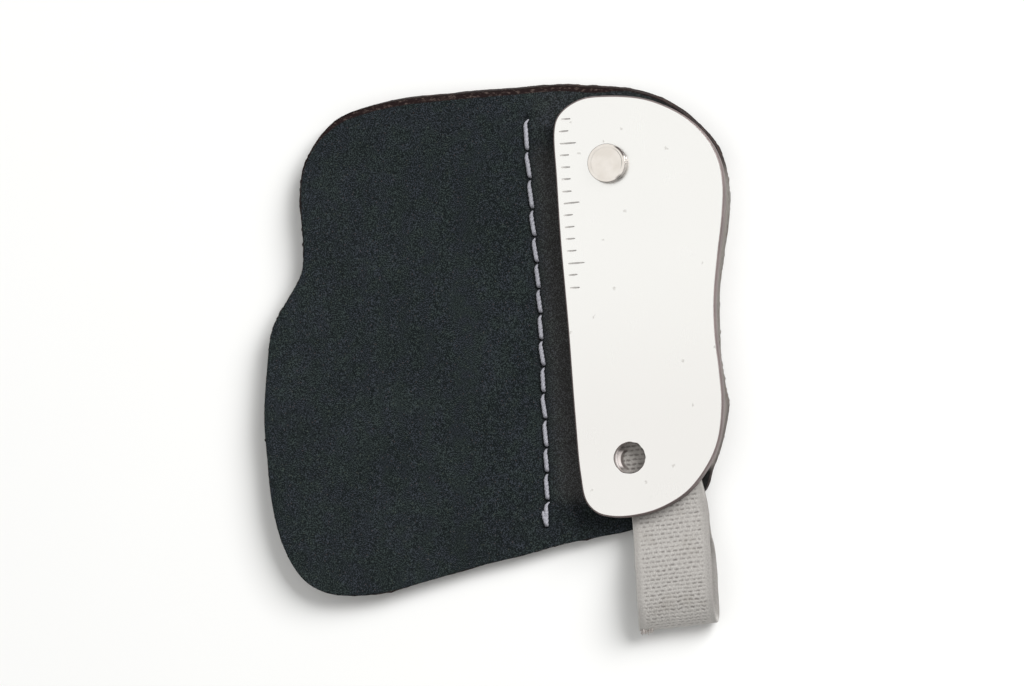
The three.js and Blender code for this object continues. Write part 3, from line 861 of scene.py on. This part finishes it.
# Seam
def stitch(here, there, level, rise, up, hook, seed):
    """One stitch from hole to hole: plied thread, a lobed section that turns as it goes, carried along an
    arched line that dives into both holes."""
    share = np.linspace(0, 1, STITCH_STATIONS)
    run = there - here
    length = float(np.hypot(*run))
    side = np.array([-run[1], run[0]]) / length
    draw = np.random.default_rng(seed)
    bow = draw.uniform(-0.05, 0.05)
    inner = 0.03 + 0.94 * share
    sway = STITCH_SLANT * (2 * share - 1) + bow * np.sin(math.pi * share)
    sway += hook * np.maximum(0, 1 - share / 0.22) ** 1.5
    middle = here + run * inner[:, None] + side * sway[:, None]
    end = np.abs(2 * share - 1)
    z = level + up * (rise - STITCH_DIVE * end**9) + curl_at(middle[:, 0], middle[:, 1])
    taper = 1 - 0.6 * np.maximum(0, 1 - share / 0.36) ** 1.6 - 0.2 * np.maximum(0, share / 0.5 - 1) ** 6
    radius = THREAD_RADIUS * taper * np.sqrt(1 - 0.97 * end**30)
    angle = np.linspace(0, 2 * math.pi, STITCH_SIDES, endpoint=False)
    lay = 2 * math.pi * share * length / THREAD_LAY + draw.uniform(0, 6)
    lobe = 0.8 + 0.2 * np.abs(np.cos(THREAD_PLIES * (angle - lay[:, None] * up) / 2))
    reach = radius[:, None] * lobe
    place = middle[:, None] + side * (reach * np.cos(angle))[..., None]
    upwards = STITCH_FLAT * reach * np.sin(angle)
    return np.concatenate([place, (z[:, None] + upwards)[..., None]], axis=-1)


def seam(name, level, rise, up, thread):
    """All stitches of one side of the seam as one piece; the last one is sewn twice."""
    spans = stitch_spans()
    hooks = [2 * STITCH_HOOK, *[STITCH_HOOK] * (len(spans) - 2), 2 * STITCH_HOOK, 0]
    spans.append([hole + shift for hole, shift in zip(spans[-1], np.array(LAST_STITCH))])
    stitches = [
        stitch(here, there, level, rise, up, hook, 50 + k)
        for k, ((here, there), hook) in enumerate(zip(spans, hooks))
    ]
    points, faces = joined(stitches)
    points[:, 1] += KNIFE_LEAN * (1 - level / LEATHER_TOP)
    return build(name, points, faces, [thread], "backing_leather" if up > 0 else "face_leather")


# Finishes
def eye_colour(colour):
    """The linear colour that sockets take, for one from 0 to 255 as the eye sees it."""
    share = np.array(colour) / 255
    linear = np.where(share <= 0.04045, share / 12.92, ((share + 0.055) / 1.055) ** 2.4)
    return (*linear.tolist(), 1.0)


class Value:
    """One output of a shader node. Sums, products, powers and absolutes of it add Math nodes."""

    def __init__(self, nodes, socket):
        self.nodes = nodes
        self.socket = socket

    def maths(self, operation, *values):
        """A Math node on numbers or links."""
        return self.nodes.add("ShaderNodeMath", dict(enumerate(values)), operation=operation)

    def __add__(self, other):
        return self.maths("ADD", self, other)

    def __radd__(self, other):
        return self.maths("ADD", other, self)

    def __sub__(self, other):
        return self.maths("SUBTRACT", self, other)

    def __rsub__(self, other):
        return self.maths("SUBTRACT", other, self)

    def __mul__(self, other):
        return self.maths("MULTIPLY", self, other)

    def __rmul__(self, other):
        return self.maths("MULTIPLY", other, self)

    def __truediv__(self, other):
        return self.maths("DIVIDE", self, other)

    def __pow__(self, other):
        return self.maths("POWER", self, other)

    def __abs__(self):
        return self.maths("ABSOLUTE", self)


class Nodes:
    """A shader tree. Every node comes from add, which sets the node's own settings before its sockets."""

    def __init__(self, tree):
        self.tree = tree

    def add(self, kind, inputs=None, output=0, **settings):
        """A new node's output, with the inputs set or linked by their name or number."""
        node = self.tree.nodes.new(kind)
        for name, setting in settings.items():
            setattr(node, name, setting)
        for socket, value in (inputs or {}).items():
            self.feed(node.inputs[socket], value)
        return Value(self, node.outputs[output])

    def feed(self, socket, value):
        """Links a value to the socket, or sets it."""
        if isinstance(value, Value):
            self.tree.links.new(value.socket, socket)
        else:
            socket.default_value = value

    def blend(self, mask, low, high):
        """The first colour where the mask is 0 and the second where it is 1."""
        low, high = (colour if isinstance(colour, Value) else eye_colour(colour) for colour in (low, high))
        return self.add("ShaderNodeMix", {0: mask, 6: low, 7: high}, output=2, data_type="RGBA")

    def cover(self, colour, *layers):
        """The colour with others laid over it in turn, each given as (mask, colour)."""
        for mask, upper in layers:
            colour = self.blend(mask, colour, upper)
        return colour

    def step(self, value, low, high):
        """0 below low, 1 above high, smooth between them; falling instead where low is the larger."""
        inputs = {"Value": value, "From Min": low, "From Max": high}
        return self.add("ShaderNodeMapRange", inputs, interpolation_type="SMOOTHSTEP")

    def vector_maths(self, operation, first, second):
        """A Vector Math node on two vectors."""
        return self.add("ShaderNodeVectorMath", {0: first, 1: second}, operation=operation)

    def parts(self, vector):
        """The three numbers of a vector."""
        first = self.add("ShaderNodeSeparateXYZ", {0: vector})
        return [Value(self, socket) for socket in first.socket.node.outputs]

    def noise(self, vector, size, detail=2.0, roughness=0.5, squeeze=None):
        """Noise from 0 to 1 with blotches about that many millimetres across, divided along each axis by
        squeeze."""
        if squeeze:
            vector = self.vector_maths("MULTIPLY", vector, squeeze)
        inputs = {"Vector": vector, "Scale": 1 / size, "Detail": detail, "Roughness": roughness}
        return self.add("ShaderNodeTexNoise", inputs)

    def cells(self, vector, size, feature="F1"):
        """Distance from the middle or the edge of cells of that size in the plan, as a share of the size."""
        inputs = {"Vector": vector, "Scale": 1 / size}
        return self.add("ShaderNodeTexVoronoi", inputs, feature=feature, voronoi_dimensions="2D")

    def mark(self, name):
        """A number that the piece carries at each point."""
        return self.add("ShaderNodeAttribute", output=2, attribute_name=name)


class Finish(Nodes):
    """A material with a Principled shader: numbers that are the same all over are set on it, and what
    changes over the surface is fed to it."""

    def __init__(self, name, **constants):
        self.material = bpy.data.materials.new(name)
        self.material.use_nodes = True
        super().__init__(self.material.node_tree)
        self.shader = self.tree.nodes["Principled BSDF"]
        for socket, value in constants.items():
            self.shader.inputs[socket.replace("_", " ")].default_value = value

    def plan(self):
        """The surface point in the plan's millimetres."""
        place = self.add("ShaderNodeTexCoord", output=3)
        scaled = self.vector_maths("MULTIPLY", place, (1 / MM, 1 / MM, 1 / MM))
        return self.vector_maths("SUBTRACT", scaled, tuple((PLATE_CORNER / MM).tolist()))

    def around(self, middle):
        """The surface point seen from an upright axis in the plan: to the right, upwards, and how far
        away."""
        x, y, _ = self.parts(self.vector_maths("SUBTRACT", self.plan(), (*middle, 0)))
        return x, y, (x * x + y * y) ** 0.5

    def done(self, colour, height, depth, roughness=None):
        """The painted material. Its bump stands depth millimetres proud where the height is 1."""
        bump = self.add("ShaderNodeBump", {"Strength": 1.0, "Distance": depth * MM, "Height": height})
        self.feed(self.shader.inputs["Base Color"], colour)
        self.feed(self.shader.inputs["Normal"], bump)
        if roughness is not None:
            self.feed(self.shader.inputs["Roughness"], roughness)
        return self.material


def leather_grain(finish, plan):
    """Fine pebbles parted by creases, on a softer unevenness."""
    crease = finish.step(finish.cells(plan, 0.5, "DISTANCE_TO_EDGE"), 0.0, 0.16)
    return crease * 0.3 + finish.noise(plan, 0.25, 3.0, 0.6) * 0.5 + finish.noise(plan, 2.4) * 0.1


def beside_plate(finish, x, y):
    """1 along the leather's right side, from the strap up to where its rim turns dark."""
    return finish.step(x, 23.0, 25.5) * finish.step(y, 7.2, 9.2) * finish.step(y, 60.0, 55.0)


def slate_leather():
    """Slate-black with a fine speckle and brown flesh where the rim is skived. Painted light lifts it where
    the plate's shadow falls beside the plate, and pale grey painted light lifts the shaded gap along the
    plate's right side; painted shade darkens the corner by the strap, the awl's slits and the leather beside
    each stitch.
    """
    finish = Finish("slate_black_leather", Specular_IOR_Level=0.06)
    plan = finish.plan()
    x, y, _ = finish.parts(plan)
    tint = finish.noise(plan, 2.6)
    speckle = finish.noise(plan, 0.17, 1.0, 0.6)
    tone = finish.step(speckle * 0.92 + finish.noise(plan, 11.0) * 0.08, 0.45, 0.67)
    specks = finish.blend(finish.step(tint, 0.35, 0.65), *SLATE_SPECKS)
    fleck = finish.step(finish.cells(plan, 1.3), 0.1, 0.05) * finish.step(finish.noise(plan, 1.1), 0.35, 0.6)
    flecks = finish.blend(finish.step(tint, 0.42, 0.58), *SLATE_FLECKS)
    # Painted light: lighter, greyer leather beside the plate, where the plate's shadow falls, fading out near
    # the top where that shadow ends.
    near_plate = finish.step(x + y * 0.075, -2.0, 4.6) * finish.step(y, 1.0, 5.0)
    near_plate = near_plate * (1 - 0.85 * finish.step(y, 59.0, 64.0))
    shadow_lift = finish.blend(tone, *SLATE_SHADOW_LIFT)
    rim = finish.mark("rim")
    fibre = finish.noise(plan, 0.4, 3.0, 0.7, squeeze=(0.45, 1, 1))
    upper_edge = finish.step(y, 62.0, 68.0) * finish.step(x, 12.0, 6.0)
    width = 0.14 + 0.7 * upper_edge + 0.2 * finish.step(y, 44.0, 54.0)
    skived = finish.step(rim + (fibre - 0.5) * 0.5, width, width - 0.15) * finish.step(y, 20.0, 50.0)
    flesh = finish.blend(finish.step(fibre, 0.5, 0.7), *FLESH_BROWNS)
    flesh = finish.blend(finish.step(rim, 0.22, 0.1), flesh, FLESH_AT_CUT)
    # Painted light: pale grey on the rim beside the plate lifts the shaded gap beneath the plate's edge.
    grey_beside_plate = finish.step(rim, 0.75, 0.45) * beside_plate(finish, x, y)
    corner = finish.step(x, 20.0, 24.0) * finish.step(y, 9.2, 7.2)
    colour = finish.cover(
        finish.blend(tone, SLATE_GROUND, specks),
        (fleck * 0.6, flecks),
        (near_plate * 0.6, shadow_lift),
        (skived, flesh),
        (grey_beside_plate, GAP_LIGHT_GREY),
        (corner * 0.8, CORNER_SHADE),
        (finish.mark("slit") * 0.9, SLIT_SHADE),
    )
    return finish.done(colour, leather_grain(finish, plan), 0.03, roughness=0.66 - 0.14 * tone)


def string_leather():
    """Smooth waxed brown, a little mottled."""
    finish = Finish("brown_string_leather", Specular_IOR_Level=0.4)
    plan = finish.plan()
    mottle = finish.noise(plan, 1.6, 5.0, 0.6)
    tone = finish.step(mottle * 0.5 + finish.noise(plan, 14.0) * 0.5, 0.35, 0.65)
    colour = finish.blend(tone, *STRING_BROWNS)
    return finish.done(colour, leather_grain(finish, plan), 0.02, roughness=0.5 + 0.15 * mottle)


def leather_edge():
    """The cut edge: brown fibres, darker where wax has soaked in, and grey along the plate's side, darker
    towards its lower end."""
    finish = Finish("cut_leather_edge", Specular_IOR_Level=0.25, Roughness=0.85)
    plan = finish.plan()
    x, y, _ = finish.parts(plan)
    fibre = finish.noise(plan, 0.32, 4.0, 0.7, squeeze=(1, 1, 2.6))
    soaked = finish.step(finish.noise(plan, 3.5, 3.0), 0.4, 0.62)
    waxed = finish.blend(finish.step(fibre, 0.42, 0.7), *EDGE_BROWNS)
    waxed = finish.blend(soaked * 0.75, waxed, EDGE_WAX)
    grey_beside_plate = finish.blend(finish.step(y, 30.0, 14.0) * 0.6, finish.blend(fibre, *EDGE_GREYS), EDGE_GREY_BELOW)
    return finish.done(finish.blend(beside_plate(finish, x, y), waxed, grey_beside_plate), fibre, 0.12)


def polished_plate():
    """Mirror-like metal polished lengthwise, with haze and a few curved scuffs, and painted shade that
    darkens its reflection towards its lower end.
    """
    finish = Finish("polished_plate_metal", Metallic=1.0)
    plan = finish.plan()
    _, y, _ = finish.parts(plan)
    polish = finish.noise(plan, 0.12, 3.0, 0.6, squeeze=(1, 0.04, 1))
    haze = finish.noise(plan, 9.0, 3.0)
    swirl = finish.add("ShaderNodeTexNoise", {"Vector": plan, "Scale": 2.0}, output=1)
    scuff = finish.step(finish.cells(finish.vector_maths("ADD", plan, swirl), 8.0), 0.045, 0.012)
    spared = finish.step(finish.noise(plan, 16.0), 0.5, 0.56)
    colour = finish.cover(
        finish.blend(haze, *PLATE_WHITES),
        # Painted shade: the reflection darker towards the plate's lower end.
        (finish.step(y, 45.0, 10.0), PLATE_SHADE_BELOW),
        (scuff * (1 - spared) * 0.45, PLATE_SCUFF),
    )
    return finish.done(colour, polish * 0.5 + haze * 0.5, 0.004, roughness=0.16 + 0.1 * haze + 0.08 * polish)


def filed_edge():
    """The plate's wall as the file left it: dull, with marks along the wall and old polish in them; its greys
    are darkened as painted shade, for the dark reflection of the shaded floor beside the plate.
    """
    finish = Finish("filed_plate_edge", Metallic=0.5)
    plan = finish.plan()
    strokes = finish.noise(plan, 0.2, 3.0, 0.6, squeeze=(0.35, 0.35, 3.0))
    patch = finish.step(finish.noise(plan, 6.0), 0.35, 0.65)
    # Dull filed metal, its greys partly painted shade for the dark reflection beside the plate.
    colour = finish.blend(patch * 0.4, finish.blend(strokes, *FILED_AND_SHADE_GREYS), FILED_PATCH)
    return finish.done(colour, strokes, 0.03, roughness=0.42 + 0.2 * strokes)


def struck_mark():
    """Metal in the struck marks: dull, and painted grey as shade for the dark reflections of their grooves'
    walls.
    """
    finish = Finish("struck_plate_metal", Metallic=0.7)
    shading = finish.noise(finish.plan(), 0.4, 3.0, 0.6)
    return finish.done(finish.blend(shading, *STRUCK_SHADE_GREYS), shading, 0.03, roughness=0.4 + 0.2 * shading)


def bored_wall():
    """The holes' walls with the drill's fine rings: a painted highlight low down across the open hole's
    middle, dull elsewhere."""
    finish = Finish("bored_plate_metal", Metallic=0.1)
    plan = finish.plan()
    _, y, z = finish.parts(plan)
    rings = finish.noise(plan, 0.25, 3.0, 0.6, squeeze=(0.1, 0.1, 3.0))
    off_middle = abs(y - (SPACER_HOLE[1] + LIGHT_POOL_SHIFT[1]))
    # Painted highlight: brighter wall low down across the open hole's middle.
    bright = finish.step(off_middle, 1.7, 1.0) * finish.step(z, PLATE_TOP - 0.9, PLATE_TOP - 1.3)
    colour = finish.blend(bright, finish.blend(rings, *BORE_DULL), finish.blend(rings, *BORE_HIGHLIGHT))
    return finish.done(colour, rings, 0.02, roughness=0.3 + 0.2 * rings)


def hole_rim_shade():
    """The open hole's scraped rim, painted dark and mottled as shade round the hole."""
    finish = Finish("painted_shade_hole_rim", Metallic=0.3, Roughness=0.5)
    shading = finish.step(finish.noise(finish.plan(), 0.7, 3.0, 0.6), 0.35, 0.65)
    return finish.done(finish.blend(shading, *RIM_SHADE_DARKS), shading, 0.03)


def head_dark_streaks(finish):
    """1 in the two dark streaks along the head's arris, painted dark reflection and grime: where the way from
    its axis is close to the streak's, which the cosine between them tells."""
    x, y, reach = finish.around(RIVET)
    streaks = 0.0
    for way, low, high in DARK_STREAK_WAYS:
        cosine = (x * way[0] + y * way[1]) / (reach + 0.01)
        streaks = finish.step(cosine, low, high) + streaks
    return finish.step(reach, HEAD_FLAT + 0.22, HEAD_FLAT + 0.4) * streaks


def rivet_metal():
    """Satin metal, brushed across and a little clouded."""
    finish = Finish("satin_rivet_metal", Metallic=1.0)
    plan = finish.plan()
    brushed = finish.noise(plan, 0.25, 3.0, 0.6, squeeze=(1, 0.2, 1))
    clouds = finish.blend(finish.step(finish.noise(plan, 2.2), 0.3, 0.7), *RIVET_WHITES)
    # Painted dark reflection and grime in two streaks along the arris.
    shading = head_dark_streaks(finish)
    colour = finish.blend(shading * 0.95, clouds, RIVET_STREAK_DARK)
    return finish.done(colour, brushed, 0.004, roughness=0.13 + 0.06 * brushed + 0.45 * shading)


def rivet_side():
    """The head's turned side: duller than its face, and painted darker for its dark reflection and the shade
    at the head's foot.
    """
    finish = Finish("turned_rivet_side", Metallic=0.3)
    rings = finish.noise(finish.plan(), 0.3, 3.0, 0.6, squeeze=(0.2, 0.2, 3.0))
    # Painted shade: the side's darker greys, with the arris's dark streaks carried down it.
    colour = finish.blend(head_dark_streaks(finish) * 0.9, finish.blend(rings, *RIVET_SIDE_GREYS), RIVET_SIDE_STREAK_DARK)
    return finish.done(colour, rings, 0.02, roughness=0.45 + 0.2 * rings)


def hole_light_and_shadow(finish):
    """1 in the painted crescent of light on the webbing left of the disc beneath the open hole, and 1 in the
    painted shadow line just inside it."""
    x, y, reach = finish.around(np.array(SPACER_HOLE) + LIGHT_POOL_SHIFT)
    left = finish.step(x, -0.3, -1.1)
    lit_crescent = finish.step(reach, LIGHT_POOL_RADIUS, LIGHT_POOL_RADIUS + 0.15) * finish.step(abs(y), 1.6, 1.0) * left
    line = finish.step(reach, LIGHT_POOL_RADIUS - 0.55, LIGHT_POOL_RADIUS - 0.25) * finish.step(abs(y), 2.0, 1.3) * left
    return lit_crescent, line


def elastic_webbing():
    """Grey-white yarns on the strap's own coordinates: dark dashes of painted shade between the ribs, frayed
    fibres and dirt; beneath the plate, where its hole shows it, painted shade with some dust, lifted by
    painted light on the side the hole's wall shades, with a painted crescent of light and a painted shadow
    line; and the strap's sides painted against the lamp's light and shade."""
    finish = Finish("elastic_webbing", Specular_IOR_Level=0.2, Roughness=0.9)
    weave = finish.add("ShaderNodeUVMap", uv_map="weave")
    across, _, _ = finish.parts(weave)
    past_plate = finish.mark("past_plate")
    lower_run = finish.mark("lower_run")
    fibre = finish.noise(weave, 0.32, 3.0, 0.6, squeeze=(2, 1, 1))
    fuzz = finish.noise(weave, 0.22, 3.0, 0.7)
    # Painted shade, with some dust, on the stretch beneath the plate that its hole shows.
    under_plate = finish.step(past_plate, -1.5, -3.0)
    worn = finish.step(past_plate, 4.0, 14.0)
    at_fold = finish.step(past_plate, 15.0, 19.5) * (1 - lower_run)
    # Painted shade in the valleys between the ribs, stronger beneath the plate.
    dash = finish.mark("valley") * (0.78 + 0.5 * under_plate) + (fuzz - 0.5) * (0.9 + 0.7 * under_plate)
    half = STRAP_WIDTH / 2
    webbing = finish.cover(
        finish.blend(finish.step(fibre, 0.25, 0.75), *RIB_GREYS),
        (finish.step(dash, 0.0, 0.9), DASH_SHADE),
        (finish.step(finish.noise(weave, 5.0, 4.0, 0.6), 0.5, 0.8) * 0.3, WEBBING_DIRT),
        (finish.step(finish.noise(weave, 0.6, 3.0, 0.7), 0.66, 0.74) * worn * 0.6, WEBBING_SPECK),
        (finish.step(abs(across), half - SELVEDGE, half - 0.4) * 0.45, SELVEDGE_GREY),
        # Painted light on the strap's left side, which faces away from the lamp, and painted shade on its
        # right side, which faces it.
        (finish.step(across, 0.25 - half, 0.1 - half) * 0.6, LEFT_SIDE_LIGHT),
        (finish.step(across, half - 0.25, half - 0.1) * 0.35, RIGHT_SIDE_SHADE),
        (lower_run * 0.08, LOWER_RUN_GREY),
    )
    lit_crescent, line = hole_light_and_shadow(finish)
    colour = finish.cover(
        webbing,
        (at_fold * 0.5, finish.blend(0.5, webbing, FOLD_WHITE)),
        # Painted shade with some dust beneath the plate, lightened by painted light on the side towards the
        # lamp, which the hole's wall shades.
        (under_plate * 0.3, finish.blend(finish.mark("shaded_side") * 0.5 + 0.5, *HOLE_SHADE_AND_DUST)),
        # Painted shadow line and painted crescent of light on the webbing beneath the open hole.
        (under_plate * line * 0.7, SHADOW_LINE),
        (under_plate * lit_crescent * 0.75, LIT_YARN),
    )
    return finish.done(colour, fuzz * 0.5 + fibre * 0.5, 0.07)


def frayed_yarn():
    """The loose ends' pale yarn."""
    finish = Finish("frayed_yarn", Specular_IOR_Level=0.2, Roughness=0.9)
    tone = finish.noise(finish.plan(), 0.5)
    return finish.done(finish.blend(tone, *FRAYED_GREYS), tone, 0.02)


def seam_thread():
    """Fibres that run mostly along the seam."""
    finish = Finish("lilac_grey_thread", Specular_IOR_Level=0.3, Roughness=0.7)
    fibre = finish.noise(finish.plan(), 0.3, 3.0, 0.6, squeeze=(3, 1.4, 3))
    return finish.done(finish.blend(finish.step(fibre, 0.3, 0.7), *THREAD_LILACS), fibre, 0.03)


# Floor, light and camera
def floor():
    """A plain pale floor, just beneath the tab."""
    finish = Finish("white_floor", Roughness=0.9, Specular_IOR_Level=0.1)
    colour = finish.blend(finish.noise(finish.plan(), 60.0), *FLOOR_WHITES)
    finish.feed(finish.shader.inputs["Base Color"], colour)
    corners = np.array([(-1, -1, 0), (1, -1, 0), (1, 1, 0), (-1, 1, 0)]) * FLOOR_HALF - (0, 0, FLOOR_DROP)
    mesh = bpy.data.meshes.new("floor")
    mesh.from_pydata((corners * MM).tolist(), [], [(0, 1, 2, 3)])
    mesh.materials.append(finish.material)
    placed("floor", mesh)


def studio_sky():
    """Soft light from all round: bright overhead, where the plate mirrors it, with a dark gap before the
    lamp, dim towards the horizon on the lamp's side, and lighter there on the other side."""
    world = bpy.data.worlds.new("studio")
    bpy.context.scene.world = world
    world.use_nodes = True
    sky = Nodes(world.node_tree)
    right, forward, up = sky.parts(sky.add("ShaderNodeTexCoord"))
    to_gap = right * LAMP_GAP[0] + forward * LAMP_GAP[1] + up * LAMP_GAP[2]
    bright = sky.step(up, 0.5, 0.92) * (1 - 0.85 * sky.step(to_gap, 0.88, 0.97))
    to_lamp = right * KEY_WAY[0] + forward * KEY_WAY[1]
    away = sky.step(to_lamp, 0.4, -0.5) * sky.step(up, 0.45, 0.15)
    background = world.node_tree.nodes["Background"]
    background.inputs["Color"].default_value = SKY_WHITE
    sky.feed(background.inputs["Strength"], 0.09 + 0.91 * bright + 0.36 * away)


def key_lamp():
    """A square lamp that faces the middle of the tab."""
    light = bpy.data.lights.new("key", "AREA")
    light.size = LAMP_SIZE
    light.energy = LAMP_POWER
    way = Vector(KEY_WAY).normalized()
    facing = way.to_track_quat("Z", "Y").to_matrix().to_4x4()
    placed("key", light).matrix_world = Matrix.Translation(way * LAMP_DISTANCE) @ facing


def photo_camera():
    """Looks down on the tab from slightly to the right and below, with the photo's upward side up."""
    back = Vector((math.tan(CAMERA_LEAN_X), math.tan(CAMERA_LEAN_Y), 1)).normalized()
    up = (Vector((0, 1, 0)) - back * back.y).normalized()
    right = up.cross(back)
    lens = bpy.data.cameras.new("photo_camera")
    lens.lens = CAMERA_LENS
    lens.sensor_width = CAMERA_FILM
    lens.clip_start = 0.02
    camera = placed("photo_camera", lens)
    turn = Matrix((right, up, back)).transposed().to_4x4()
    camera.matrix_world = Matrix.Translation(CAMERA_TARGET + back * CAMERA_DISTANCE) @ turn
    bpy.context.scene.camera = camera


def finger_tab():
    """All pieces of the tab, from the leathers up."""
    edge = leather_edge()
    slate = slate_leather()
    brown = string_leather()
    heights = BACKING_BOTTOM, LEATHER_TOP
    backing = leather_layer("slate_backing", *heights, True, slate, edge, "backing_leather")
    cut_out(backing, bar("bore", RIVET_SHANK_RADIUS + SHANK_GAP, 0, LEATHER_TOP + 1, edge))
    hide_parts("backing_leather")
    facing = leather_layer("string_face", 0.0, FACE_THICKNESS, False, brown, edge, "face_leather")
    tail_room = RIVET_TAIL_TOP + LAYER_GAP
    cut_out(facing, bar("counterbore", RIVET_HEAD_RADIUS + SHANK_GAP, -1, tail_room, edge))
    cut_out(facing, bar("bore", RIVET_SHANK_RADIUS + SHANK_GAP, -1, LEATHER_TOP, edge))
    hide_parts("face_leather")
    thread = seam_thread()
    seam("seam_on_backing", LEATHER_TOP, STITCH_RISE, 1, thread)
    seam("seam_on_string_face", 0.0, -STITCH_SINK, -1, thread)
    palm_plate([polished_plate(), filed_edge(), struck_mark(), bored_wall(), hole_rim_shade()])
    rivet(rivet_metal(), rivet_side())
    finger_strap(elastic_webbing(), frayed_yarn())


def studio():
    """Floor, light, camera and plain colours."""
    floor()
    studio_sky()
    key_lamp()
    photo_camera()
    view = bpy.context.scene.view_settings
    view.view_transform = "Standard"
    view.look = "None"


finger_tab()
studio()
